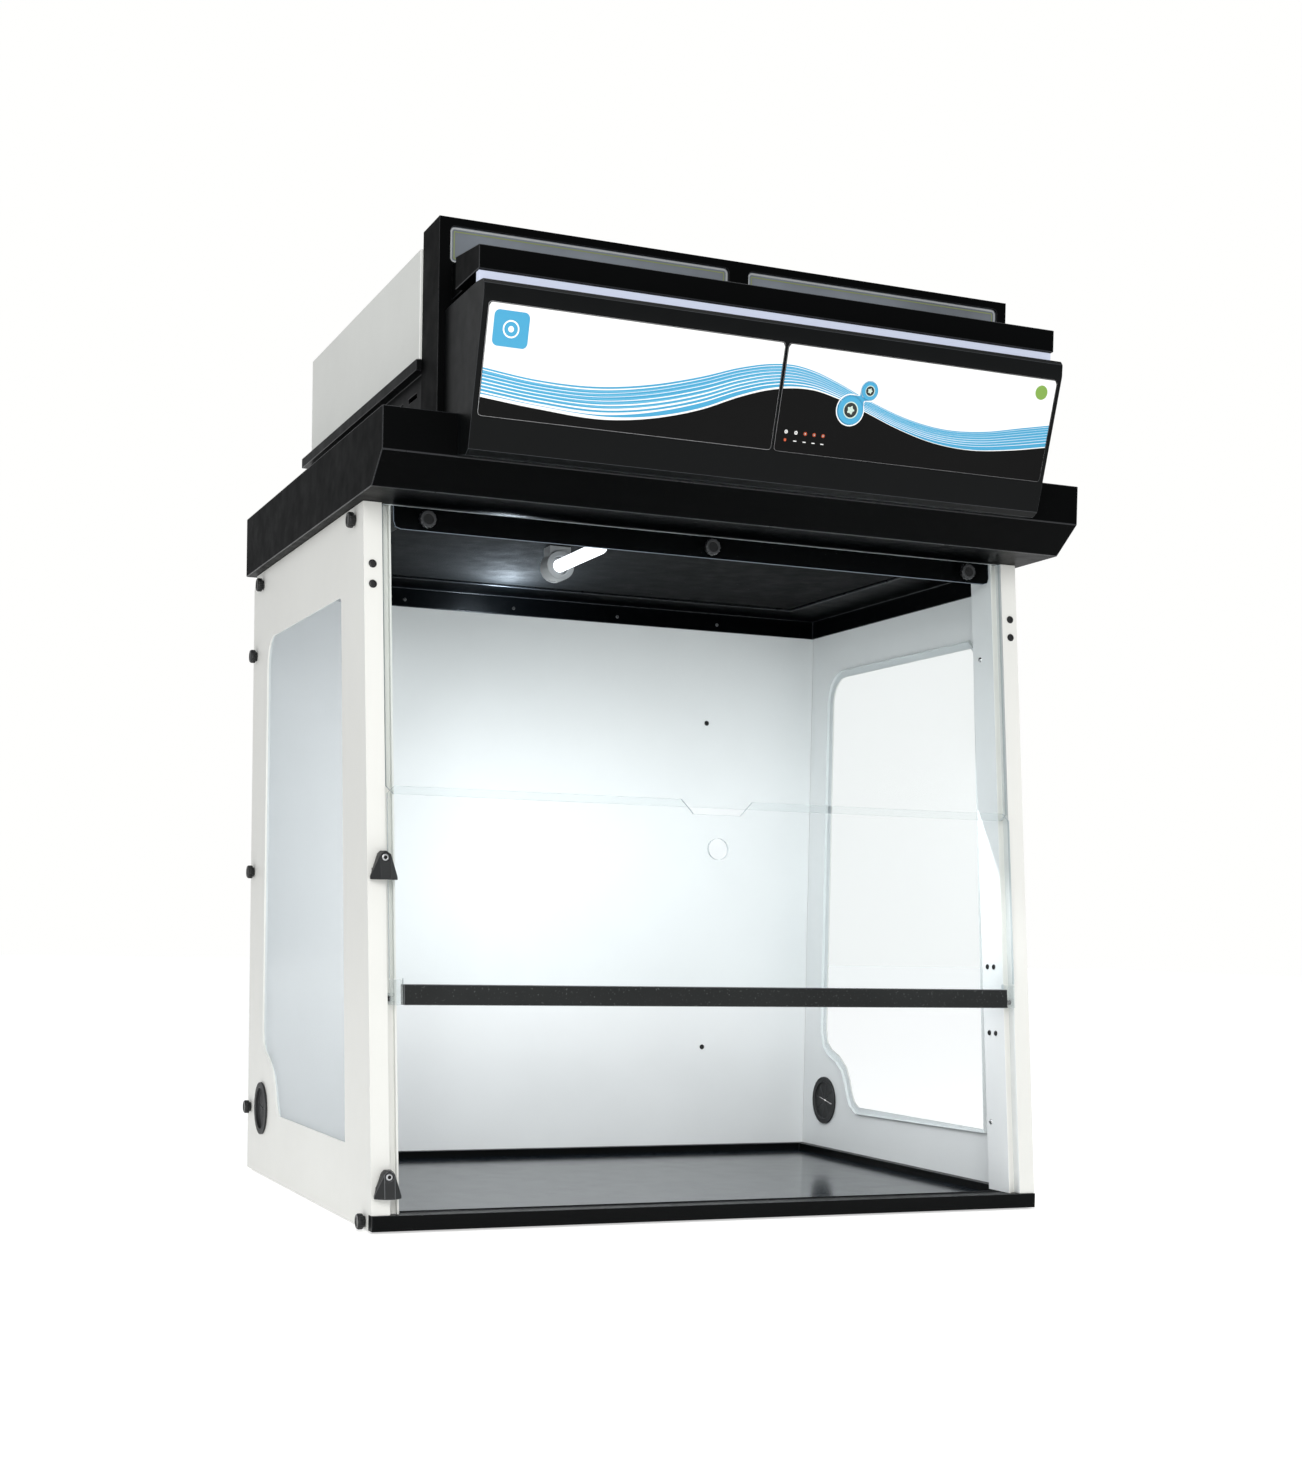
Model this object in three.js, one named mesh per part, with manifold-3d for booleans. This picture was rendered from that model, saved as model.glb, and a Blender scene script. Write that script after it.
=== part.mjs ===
import * as THREE from 'three';
import { mergeVertices } from 'three/addons/utils/BufferGeometryUtils.js';
import { ConvexGeometry } from 'three/addons/geometries/ConvexGeometry.js';
import Module from 'manifold-3d';

const wasm = await Module();
wasm.setup();

// Overall sizes in millimetres; +Z is up and the front faces -Y.
const WIDTH = 800;
const DEPTH = 620;
const LEAN = 13 / 128;
const Y_MID = 252;
const GAP = 0.25;
const HALF = WIDTH / 2;
const SHEET = 2;
const FACETS = 24;

// Base tray and work surface.
const FLOOR_LIFT = 2;
const LIP_DEPTH = 14;
const LIP_TOP = 18.5;
const RIM_TOP = 20;
const RIM_WIDTH = 11;
const RIM_NOTCH_LOW = 10;
const TRAY_SKIN = 2;
const SURFACE_THICK = 6;
const SURFACE_TOP = 11;
const SURFACE_PLAY = 1;
const RUNNER_WIDTH = 24;
const RUNNER_INSET = 30;
const RUNNER_FRONT = 24;
const RUNNER_BACK = 580;

// Side panels with their inclined front columns.
const PANEL_TOP = 763.5;
const REAR_CHAMFER = 16;
const COLUMN_WIDTH = 20;
const GROOVE_DEPTH = 14;
const STRIP_X = 371;
const STRIP_FRONT = 5.5;
const STRIP_BACK = 50;
const COLUMN_HOLE_R = 4.2;
const COLUMN_HOLE_X = 390.6;
const COLUMN_HOLE_Z = [676, 697.5];
const STRIP_HOLE_R = 3;
const STRIP_HOLE_Z = [204.5, 283];
const STRIP_HOLE_OFF = [24, 38];
const FLANGE = 18;

// Clear side windows.
const WINDOW_LOW = 83.25;
const WINDOW_HIGH = 675.5;
const WINDOW_FRONT_LOW = 114.5;
const WINDOW_FRONT_HIGH = 165;
const WINDOW_BACK = 536;
const WINDOW_RADIUS = 34;
const WINDOW_LAP = 9;
const WINDOW_STEP = [
  [437, 83.25],
  [449, 90],
  [457, 102],
  [463.5, 118.5],
  [475, 136],
  [496, 150],
  [519, 158],
  [531, 167],
];
const WINDOW_STEP_TOP = 185;
const PANE_THICK = 4;

// Cable glands.
const GLAND_Y = 534.8;
const GLAND_Z = 85.4;
const GLAND_R = 33;
const GLAND_HOLE_R = 29;
const GLAND_LIP = 3;
const GLAND_BEAD = 3;
const FLAP_CUTS = 4;
const FLAP_CUT_WIDTH = 1;
const FLAP_TURN = 0.2;

// Back panel.
const BACK_Y = 601.5;
const BACK_HOLES = [[233.5, 611], [236, 157.3], [-233.5, 611], [-236, 157.3]];
const BACK_HOLE_R = 3;
const BACK_LOW = 4;
const BACK_HIGH = 761;

// Front panes, handle bar and plungers. "Off" is the distance behind the column face.
const PANE_HALF = 378.5;
const UPPER_LOW = 456;
const UPPER_OFF = 0.75;
const LOWER_TOP = 464;
const LOWER_LOW = 238;
const LOWER_OFF = -4;
const FRONT_PANE_THICK = 4;
const NOTCH_TOP_HALF = 43.4;
const NOTCH_LOW_HALF = 29;
const NOTCH_DEPTH = 16;
const PORT_Z = 410;
const PORT_R = 12;
const CORNER_CUT = 8;
const BAR_HALF = 365;
const BAR_LOW = 235.5;
const BAR_HIGH = 257;
const BAR_OFF = -10;
const BAR_BACK_OFF = 3.5;
const BAR_GRIP = 20;
const END_OUT = 377;
const END_FOOT_HIGH = 12;
const PIN_R = 2.8;
const PIN_START = 375.6;
const PIN_OFF = 7.2;
const PIN_Z = 241.5;
const PIN_TIP = 379.4;

// Stop blocks on the left column.
const STOP_X = -384;
const STOP_LOW = [36.4, 365.4];
const STOP_HEIGHT = 30;
const STOP_HALF = 14.6;
const STOP_BAND_HALF = 5.6;
const STOP_PROUD = 15;
const STOP_FOOT_HALF = 11.5;
const STOP_FOOT_HIGH = 12;
const STOP_FOOT_BACK = -0.2;
const STOP_SCREW_R = 3.8;
const STOP_SCREW_DROP = 7;
const STOP_SCREW_SEAT = 11;
const STOP_SCREW_FACE = 14.5;
const SOCKET_R = 1.9;

// Clamp rail at the head of the upper pane.
const RAIL_HALF = 366;
const RAIL_LOW = 738;
const RAIL_OFF = 5;
const RAIL_THICK = 3;
const CLAMP_X = [-331, 0, 331];
const CLAMP_Z = 749.5;
const CLAMP_R = 9.5;
const CLAMP_HIGH = 8;

// Header hood.
const HEAD_HALF = 411;
const HEAD_FRONT = -35.25;
const HEAD_LOW = 764;
const HEAD_MID = 793.5;
const HEAD_TOP = 837.5;
const HEAD_SLOPE_Y = 4.25;
const HEAD_SKIN = 2.5;
const DUCT_HALF = 325;
const DUCT_FRONT = 112;
const DUCT_BACK = 528;
const SKIRT_LOW = 739;
const SKIRT_FRONT = 132;
const PREFILTER_LOW = 766.75;
const PREFILTER_THICK = 9;

// Lamp.
const LAMP_X = -121;
const LAMP_Z = 744;
const LAMP_SOCKET_Y = 234;
const LAMP_SOCKET_LONG = 26;
const LAMP_SOCKET_R = 17;
const LAMP_SOCKET_BORE = 11;
const LAMP_SOCKET_BORE_DEEP = 12;
const LAMP_FOOT_HALF = 13;
const LAMP_CAP_R = 10;
const LAMP_TUBE_R = 7.5;
const LAMP_TUBE_FRONT = 99;

// Ventilation module.
const FRAME_HALF = 340;
const FRAME_FRONT = 15;
const FRAME_BACK = 73.5;
const FRAME_TOP = 1050;
const FRAME_SKIN = 3;
const SLOT_VIEW = [11.75, 328];
const SLOT_VIEW_Z = [1004, 1041.5];
const BODY_HALF = 336;
const BODY_BACK = 585;
const BODY_DECK_LOW = 905;
const BODY_DECK_TOP = 917;
const BODY_SKIN = 3;
const VENTS = 9;
const VENT_PITCH = 54;
const VENT_LONG = 34;
const VENT_Z = [884, 889];
const INLET_X = -262;
const INLET_Z = 866;
const INLET_HALF = 12;
const INLET_HALF_Z = 8.5;
const INLET_BLADES = [[-5.5, -1.5], [5.5, -1.5], [0, 2]];
const FILTER_HALF = 316;
const FILTER_INSET = 8;
const FILTER_FRAME = 14;
const FILTER_TOP = 898;
const FILTER_BED = [806, 856];
const DECK_HALF = 346;
const DECK_BACK = 597;
const CASE_HALF = 342.75;
const CASE_BACK = 558.25;
const CASE_TOP = 1032.5;
const EXHAUST_SLOTS = 9;
const EXHAUST_PITCH = 24;
const EXHAUST_WIDTH = 8;
const EXHAUST_X = [8, 120];
const FAN_Y = 316;
const FAN_R = 110;
const FAN_LOW = 918;
const FAN_HIGH = 984;
const HUB_R = 34;
const STRUT_HALF = 4;
const STRUT_HIGH = 6;
const BLADES = 7;
const BLADE_CHORD = 34;
const BLADE_THICK = 2.4;
const BLADE_PITCH = 0.5;

// Control head, cornice and light strip.
const CORNICE_HALF = 332.75;
const CORNICE_FRONT = -97.5;
const CORNICE_LOW = 965.25;
const CORNICE_HIGH = 989;
const CORNICE_BACK_HIGH = 1002.5;
const LIGHT_HALF = 331.5;
const LIGHT_FRONT = -94;
const LIGHT_LOW = 953.75;
const CTRL_HALF = 333;
const FACE_TOP = [-114.25, 930];
const FACE_LOW = [-72.25, 794];
const LABEL_LOW_Z = 825.5;
const LABEL_HALF = 327.4;
const LABEL_THICK = 1.2;
const LABEL_SPLIT = [-4.1, -0.9];
const BOARD_X = [-40, 190];
const BOARD_Z = [835, 915];
const LIP_SLOTS = [-292, -252, 214, 254];
const LIP_SLOT_LONG = 22;
const KEYS = [['key_large', 80.9, 873.7, 14.6], ['key_small', 100.4, 894.5, 9.4]];

// Thumb knobs that hold the side panels: [y, z].
const KNOBS = [[110, 748.5], [566, 746.5], [601, 660.4], [601, 384.5], [603, 81.8], [29, 9.8]];
const KNOB_R = 8.4;
const KNOB_HIGH = 8.4;

const group = new THREE.Group();
group.name = 'fume_hood';

// Turns a three.js geometry into a manifold solid, facing outward.
function solid(geometry) {
  const bare = geometry.clone();
  bare.deleteAttribute('normal');
  bare.deleteAttribute('uv');
  const merged = mergeVertices(bare, 1e-4);
  const vertProperties = new Float32Array(merged.attributes.position.array);
  const source = merged.index.array;
  const kept = [];
  for (let i = 0; i < source.length; i += 3) {
    const [a, b, c] = [source[i], source[i + 1], source[i + 2]];
    if (a !== b && b !== c && a !== c) kept.push(a, b, c);
  }
  const triVerts = new Uint32Array(kept);
  const made = new wasm.Manifold(new wasm.Mesh({ numProp: 3, vertProperties, triVerts }));
  if (made.volume() > 0) return made;
  for (let i = 0; i < triVerts.length; i += 3) {
    const swap = triVerts[i + 1];
    triVerts[i + 1] = triVerts[i + 2];
    triVerts[i + 2] = swap;
  }
  return new wasm.Manifold(new wasm.Mesh({ numProp: 3, vertProperties, triVerts }));
}

// Turns a manifold solid back into a geometry.
function geometryOf(body) {
  const mesh = body.getMesh();
  const geometry = new THREE.BufferGeometry();
  geometry.setAttribute('position', new THREE.BufferAttribute(mesh.vertProperties, 3));
  geometry.setIndex(new THREE.BufferAttribute(mesh.triVerts, 1));
  return geometry;
}

// Adds one named node to the group.
function add(name, body, colour, metalness = 0, roughness = 0.5, extra = {}) {
  const geometry = geometryOf(body);
  geometry.translate(0, -Y_MID, 0);
  geometry.computeVertexNormals();
  const material = new THREE.MeshStandardMaterial({ color: colour, metalness, roughness, ...extra });
  material.name = name;
  const mesh = new THREE.Mesh(geometry, material);
  mesh.name = name;
  group.add(mesh);
}

function boxGeometry(x0, x1, y0, y1, z0, z1) {
  const geometry = new THREE.BoxGeometry(x1 - x0, y1 - y0, z1 - z0);
  return geometry.translate((x0 + x1) / 2, (y0 + y1) / 2, (z0 + z1) / 2);
}

function box(x0, x1, y0, y1, z0, z1) {
  return solid(boxGeometry(x0, x1, y0, y1, z0, z1));
}

// Tilts a geometry so that it follows the inclined front.
function leaned(geometry) {
  const position = geometry.attributes.position;
  for (let i = 0; i < position.count; i += 1) {
    position.setY(i, position.getY(i) + LEAN * position.getZ(i));
  }
  return geometry;
}

function leanedBox(x0, x1, off0, off1, z0, z1) {
  return solid(leaned(boxGeometry(x0, x1, off0, off1, z0, z1)));
}

function shapeOf(points, holes = []) {
  const shape = new THREE.Shape(points.map(([u, v]) => new THREE.Vector2(u, v)));
  for (const hole of holes) {
    shape.holes.push(new THREE.Path(hole.map(([u, v]) => new THREE.Vector2(u, v))));
  }
  return shape;
}

function extruded(shape, depth) {
  return new THREE.ExtrudeGeometry(shape, { depth, bevelEnabled: false, steps: 1, curveSegments: 6 });
}

const ALONG_X = new THREE.Matrix4().makeBasis(
  new THREE.Vector3(0, 1, 0),
  new THREE.Vector3(0, 0, 1),
  new THREE.Vector3(1, 0, 0),
);
const ALONG_MINUS_Y = new THREE.Matrix4().makeBasis(
  new THREE.Vector3(1, 0, 0),
  new THREE.Vector3(0, 0, 1),
  new THREE.Vector3(0, -1, 0),
);

// Extrudes a (y, z) outline from x0 to x1.
function acrossX(points, x0, x1, holes = []) {
  return extruded(shapeOf(points, holes), x1 - x0).applyMatrix4(ALONG_X).translate(x0, 0, 0);
}

// Extrudes an (x, z) outline from y0 to y1.
function acrossY(points, y0, y1, holes = []) {
  return extruded(shapeOf(points, holes), y1 - y0).applyMatrix4(ALONG_MINUS_Y).translate(0, y1, 0);
}

// Extrudes an (x, y) outline from z0 to z1.
function acrossZ(points, z0, z1) {
  return solid(extruded(shapeOf(points), z1 - z0).translate(0, 0, z0));
}

function circle(u, v, r, facets = FACETS) {
  const points = [];
  for (let i = 0; i < facets; i += 1) {
    const angle = (2 * Math.PI * i) / facets;
    points.push([u + r * Math.cos(angle), v + r * Math.sin(angle)]);
  }
  return points;
}

// A rectangle with rounded corners, anticlockwise.
function roundedBox(u0, u1, v0, v1, r, steps = 4) {
  const centres = [[u1 - r, v1 - r, 0], [u0 + r, v1 - r, 1], [u0 + r, v0 + r, 2], [u1 - r, v0 + r, 3]];
  const points = [];
  for (const [u, v, quarter] of centres) {
    for (let i = 0; i <= steps; i += 1) {
      const angle = ((quarter + i / steps) * Math.PI) / 2;
      points.push([u + r * Math.cos(angle), v + r * Math.sin(angle)]);
    }
  }
  return points;
}

// A round bar along X, Y or Z from a to b.
function rod(axis, r, a, b, u, v, facets = FACETS) {
  const geometry = new THREE.CylinderGeometry(r, r, b - a, facets);
  if (axis === 'x') geometry.rotateZ(-Math.PI / 2).translate((a + b) / 2, u, v);
  if (axis === 'y') geometry.translate(u, (a + b) / 2, v);
  if (axis === 'z') geometry.rotateX(Math.PI / 2).translate(u, v, (a + b) / 2);
  return solid(geometry);
}

function mirrored(points) {
  return points.map(([u, v]) => [-u, v]).reverse();
}

// Moves a convex or gently curved outline outward by a distance.
function grown(points, distance) {
  const count = points.length;
  return points.map(([u, v], i) => {
    const [pu, pv] = points[(i + count - 1) % count];
    const [nu, nv] = points[(i + 1) % count];
    const tangent = new THREE.Vector2(nu - pu, nv - pv).normalize();
    return [u + distance * tangent.y, v - distance * tangent.x];
  });
}

// Base: tray with a proud front lip, work surface and two runners.
const trayHalf = HALF - SHEET - GAP;
const trayOuter = box(-trayHalf, trayHalf, LIP_DEPTH - 1, BACK_Y - GAP, FLOOR_LIFT, RIM_TOP);
const trayHollow = box(
  -HALF + SHEET + RIM_WIDTH,
  HALF - SHEET - RIM_WIDTH,
  LIP_DEPTH + RIM_WIDTH,
  BACK_Y - RIM_WIDTH,
  FLOOR_LIFT + TRAY_SKIN,
  RIM_TOP + 1,
);
const trayLip = box(-HALF, HALF, 0, LIP_DEPTH, FLOOR_LIFT, LIP_TOP);
const rimHalf = STRIP_X - 12;
const trayRimFront = box(-rimHalf, rimHalf, LIP_DEPTH - 1, LIP_DEPTH + RIM_WIDTH, FLOOR_LIFT, LIP_TOP);
let tray = trayOuter.subtract(trayHollow);
tray = tray.subtract(box(-HALF, HALF, -1, LIP_DEPTH + RIM_WIDTH - 1, LIP_TOP, RIM_TOP + 1));
for (const side of [-1, 1]) {
  const inner = side * (STRIP_X - SHEET - 4);
  const outer = side * (HALF + 1);
  const lo = Math.min(inner, outer);
  const hi = Math.max(inner, outer);
  tray = tray.subtract(box(lo, hi, LIP_DEPTH, STRIP_BACK + 4, RIM_NOTCH_LOW, RIM_TOP + 1));
}
tray = tray.add(trayRimFront).add(trayLip);
add('tray', tray, 0x15181a, 0.1, 0.35);

const surfaceHalf = HALF - SHEET - RIM_WIDTH - SURFACE_PLAY;
const surface = box(
  -surfaceHalf,
  surfaceHalf,
  LIP_DEPTH + RIM_WIDTH + SURFACE_PLAY,
  BACK_Y - RIM_WIDTH - SURFACE_PLAY,
  SURFACE_TOP - SURFACE_THICK,
  SURFACE_TOP,
);
const surfaceNotch = (side) => {
  const inner = side * (STRIP_X - SHEET - 6);
  const outer = side * HALF;
  return box(Math.min(inner, outer), Math.max(inner, outer), 0, STRIP_BACK + 6, 0, RIM_TOP);
};
add('work_surface', surface.subtract(surfaceNotch(-1)).subtract(surfaceNotch(1)), 0x2a3136, 0.1, 0.12);

for (const [name, side] of [['runner_left', -1], ['runner_right', 1]]) {
  const inner = side * (HALF - RUNNER_INSET - RUNNER_WIDTH);
  const outer = side * (HALF - RUNNER_INSET);
  const lo = Math.min(inner, outer);
  const runner = box(lo, lo + RUNNER_WIDTH, RUNNER_FRONT, RUNNER_BACK, 0, FLOOR_LIFT);
  add(name, runner, 0x101010, 0, 0.9);
}

// Side panels: outer sheet, inclined column with a groove, and a rear flange.
const windowEdge = [[WINDOW_FRONT_LOW, WINDOW_LOW], ...WINDOW_STEP, [WINDOW_BACK, WINDOW_STEP_TOP]];
for (let i = 0; i <= 5; i += 1) {
  const angle = (i * Math.PI) / 10;
  const y = WINDOW_BACK - WINDOW_RADIUS + WINDOW_RADIUS * Math.cos(angle);
  windowEdge.push([y, WINDOW_HIGH - WINDOW_RADIUS + WINDOW_RADIUS * Math.sin(angle)]);
}
windowEdge.push([WINDOW_FRONT_HIGH + 6, WINDOW_HIGH]);
windowEdge.push([WINDOW_FRONT_HIGH, WINDOW_HIGH - 5]);

const panelEdge = [
  [LIP_DEPTH + GAP, FLOOR_LIFT],
  [DEPTH, FLOOR_LIFT],
  [DEPTH, PANEL_TOP - REAR_CHAMFER],
  [DEPTH - REAR_CHAMFER, PANEL_TOP],
  [LEAN * PANEL_TOP + 1, PANEL_TOP],
  [LEAN * (LIP_TOP + GAP) + 1, LIP_TOP + GAP],
  [LIP_DEPTH + GAP, LIP_TOP + GAP],
];

// The folded column in section: [x, off].
const columnInner = HALF - COLUMN_WIDTH;
const columnSection = [
  [HALF, 0],
  [HALF, 12],
  [HALF - SHEET, 12],
  [HALF - SHEET, SHEET],
  [columnInner + SHEET, SHEET],
  [columnInner + SHEET, GROOVE_DEPTH],
  [STRIP_X, GROOVE_DEPTH],
  [STRIP_X, STRIP_BACK],
  [STRIP_X - SHEET, STRIP_BACK],
  [STRIP_X - SHEET, STRIP_FRONT],
  [STRIP_X, STRIP_FRONT],
  [STRIP_X, GROOVE_DEPTH - SHEET],
  [columnInner, GROOVE_DEPTH - SHEET],
  [columnInner, 0],
];

function sidePanel(side) {
  const at = (a, b) => [Math.min(side * a, side * b), Math.max(side * a, side * b)];
  const low = LIP_TOP + GAP;
  let body = solid(acrossX(panelEdge, ...at(HALF - SHEET, HALF)));
  const section = columnSection.map(([x, off]) => [side * x, off]);
  const column = extruded(shapeOf(section), PANEL_TOP - low).translate(0, 0, low);
  body = body.add(solid(leaned(column)));
  const flangeTop = PANEL_TOP - REAR_CHAMFER;
  body = body.add(box(...at(HALF - FLANGE, HALF), DEPTH - SHEET, DEPTH, FLOOR_LIFT, flangeTop));
  body = body.subtract(solid(acrossX(windowEdge, ...at(HALF - 6, HALF + 2))));
  body = body.subtract(solid(acrossX(circle(GLAND_Y, GLAND_Z, GLAND_HOLE_R), ...at(HALF - 6, HALF + 2))));
  for (const z of COLUMN_HOLE_Z) {
    body = body.subtract(rod('y', COLUMN_HOLE_R, LEAN * z - 4, LEAN * z + 6, side * COLUMN_HOLE_X, z, 16));
  }
  for (const z of STRIP_HOLE_Z) {
    for (const off of STRIP_HOLE_OFF) {
      const [a, b] = at(STRIP_X - 6, STRIP_X + 4);
      body = body.subtract(rod('x', STRIP_HOLE_R, a, b, LEAN * z + off, z, 12));
    }
  }
  return body;
}
add('side_panel_left', sidePanel(-1), 0xf1f1ec, 0, 0.35);
add('side_panel_right', sidePanel(1), 0xf1f1ec, 0, 0.35);

// Clear windows fixed to the inner faces of the side panels.
const paneEdge = grown(windowEdge, WINDOW_LAP);
for (const [name, side] of [['side_window_left', -1], ['side_window_right', 1]]) {
  const outer = HALF - SHEET - GAP;
  const inner = outer - PANE_THICK;
  const lo = Math.min(side * outer, side * inner);
  const hi = Math.max(side * outer, side * inner);
  const pane = solid(acrossX(paneEdge, lo, hi));
  add(name, pane, 0xd4dfe8, 0, 0.08, { transparent: true, opacity: 0.4 });
}

// Cable glands: a grommet round the hole with a cut rubber web.
for (const [name, side] of [['gland_left', -1], ['gland_right', 1]]) {
  const at = (a, b) => [Math.min(side * a, side * b), Math.max(side * a, side * b)];
  const disc = (r, a, b, facets = FACETS) => {
    const [lo, hi] = at(a, b);
    return rod('x', r, lo, hi, GLAND_Y, GLAND_Z, facets);
  };
  let gland = disc(GLAND_R, HALF + GAP, HALF + GLAND_LIP);
  gland = gland.add(disc(GLAND_R, HALF - SHEET - GAP - GLAND_LIP, HALF - SHEET - GAP));
  gland = gland.add(disc(GLAND_HOLE_R - GAP, HALF - SHEET - 2, HALF + 1));
  gland = gland.subtract(disc(GLAND_HOLE_R - GLAND_BEAD, HALF - 1, HALF + 6));
  gland = gland.subtract(disc(GLAND_HOLE_R - GLAND_BEAD, HALF - 10, HALF - 3));
  for (let i = 0; i < FLAP_CUTS; i += 1) {
    const reach = GLAND_HOLE_R - 5;
    const half = FLAP_CUT_WIDTH / 2;
    const cut = boxGeometry(...at(HALF - 8, HALF + 8), -reach, reach, -half, half);
    cut.rotateX((i * Math.PI) / FLAP_CUTS + FLAP_TURN).translate(0, GLAND_Y, GLAND_Z);
    gland = gland.subtract(solid(cut));
  }
  add(name, gland, 0x141414, 0, 0.7);
}

// Back panel with returned side flanges.
const backHalf = HALF - SHEET - GAP;
const backOutline = [
  [-backHalf, BACK_LOW],
  [backHalf, BACK_LOW],
  [backHalf, BACK_HIGH],
  [-backHalf, BACK_HIGH],
];
const backHoles = BACK_HOLES.map(([x, z]) => circle(x, z, BACK_HOLE_R, 12));
let back = solid(acrossY(backOutline, BACK_Y, BACK_Y + SHEET, backHoles));
for (const side of [-1, 1]) {
  const lo = Math.min(side * backHalf, side * (backHalf - SHEET));
  const hi = Math.max(side * backHalf, side * (backHalf - SHEET));
  back = back.add(box(lo, hi, BACK_Y, DEPTH - SHEET - GAP, BACK_LOW, PANEL_TOP - REAR_CHAMFER));
}
add('back_panel', back, 0xeceff0, 0, 0.3);

// Upper pane, cut at its lower corners.
const upperEdge = [
  [-PANE_HALF + CORNER_CUT, UPPER_LOW],
  [PANE_HALF - CORNER_CUT, UPPER_LOW],
  [PANE_HALF, UPPER_LOW + CORNER_CUT],
  [PANE_HALF, PANEL_TOP - 1],
  [-PANE_HALF, PANEL_TOP - 1],
  [-PANE_HALF, UPPER_LOW + CORNER_CUT],
];
const upperPane = acrossY(upperEdge, UPPER_OFF, UPPER_OFF + FRONT_PANE_THICK);
add('upper_pane', solid(leaned(upperPane)), 0xdfe9ee, 0, 0.05, { transparent: true, opacity: 0.3 });

// Lower pane with cut top corners, a finger notch and a round port.
const lowerEdge = [
  [-PANE_HALF, LOWER_LOW],
  [PANE_HALF, LOWER_LOW],
  [PANE_HALF, LOWER_TOP - CORNER_CUT],
  [PANE_HALF - CORNER_CUT, LOWER_TOP],
  [NOTCH_TOP_HALF, LOWER_TOP],
  [NOTCH_LOW_HALF + 4, LOWER_TOP - NOTCH_DEPTH + 5],
  [NOTCH_LOW_HALF, LOWER_TOP - NOTCH_DEPTH],
  [-NOTCH_LOW_HALF, LOWER_TOP - NOTCH_DEPTH],
  [-NOTCH_LOW_HALF - 4, LOWER_TOP - NOTCH_DEPTH + 5],
  [-NOTCH_TOP_HALF, LOWER_TOP],
  [-PANE_HALF + CORNER_CUT, LOWER_TOP],
  [-PANE_HALF, LOWER_TOP - CORNER_CUT],
];
const portHole = circle(0, PORT_Z, PORT_R);
const lowerPane = acrossY(lowerEdge, LOWER_OFF, LOWER_OFF + FRONT_PANE_THICK, [portHole]);
let lower = solid(leaned(lowerPane));
for (const side of [-1, 1]) {
  const a = side * (BAR_HALF - 1);
  const b = side * (PANE_HALF + 1);
  const [lo, hi] = [Math.min(a, b), Math.max(a, b)];
  const corner = leanedBox(lo, hi, -BAR_GRIP, BAR_GRIP, LOWER_LOW - 5, BAR_HIGH + 6);
  lower = lower.subtract(corner);
}
add('lower_pane', lower, 0xdfe9ee, 0, 0.05, { transparent: true, opacity: 0.3 });

// Handle bar: a channel that grips the lower edge of the lower pane.
const barBody = leanedBox(-BAR_HALF, BAR_HALF, BAR_OFF, BAR_BACK_OFF, BAR_LOW, BAR_HIGH);
const barSlot = leanedBox(
  -BAR_HALF - 1,
  BAR_HALF + 1,
  LOWER_OFF - GAP,
  LOWER_OFF + FRONT_PANE_THICK + GAP,
  LOWER_LOW - GAP,
  BAR_HIGH + 1,
);
add('handle_bar', barBody.subtract(barSlot), 0x2b2e2e, 0.2, 0.6);

// Clear end brackets of the bar and the sprung plungers they carry.
for (const [suffix, side] of [['left', -1], ['right', 1]]) {
  const at = (a, b) => [Math.min(side * a, side * b), Math.max(side * a, side * b)];
  let end = leanedBox(...at(BAR_HALF + GAP, END_OUT), BAR_OFF + 3, BAR_BACK_OFF, BAR_LOW, BAR_HIGH + 5);
  const footBack = PIN_OFF + 4.2;
  const footHigh = BAR_LOW + END_FOOT_HIGH;
  end = end.add(leanedBox(...at(STRIP_X + GAP, END_OUT), BAR_BACK_OFF - 1, footBack, BAR_LOW, footHigh));
  const [boreA, boreB] = at(STRIP_X - 1, END_OUT + 1);
  end = end.subtract(rod('x', PIN_R + 0.25, boreA, boreB, LEAN * PIN_Z + PIN_OFF, PIN_Z, 16));
  add(`bar_end_${suffix}`, end, 0xeef2f2, 0, 0.15, { transparent: true, opacity: 0.6 });
  const [pinA, pinB] = at(PIN_START, PIN_TIP);
  const pin = rod('x', PIN_R, pinA, pinB, LEAN * PIN_Z + PIN_OFF, PIN_Z, 16);
  add(`plunger_${suffix}`, pin, 0x1a1a1a, 0.1, 0.4);
}

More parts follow.
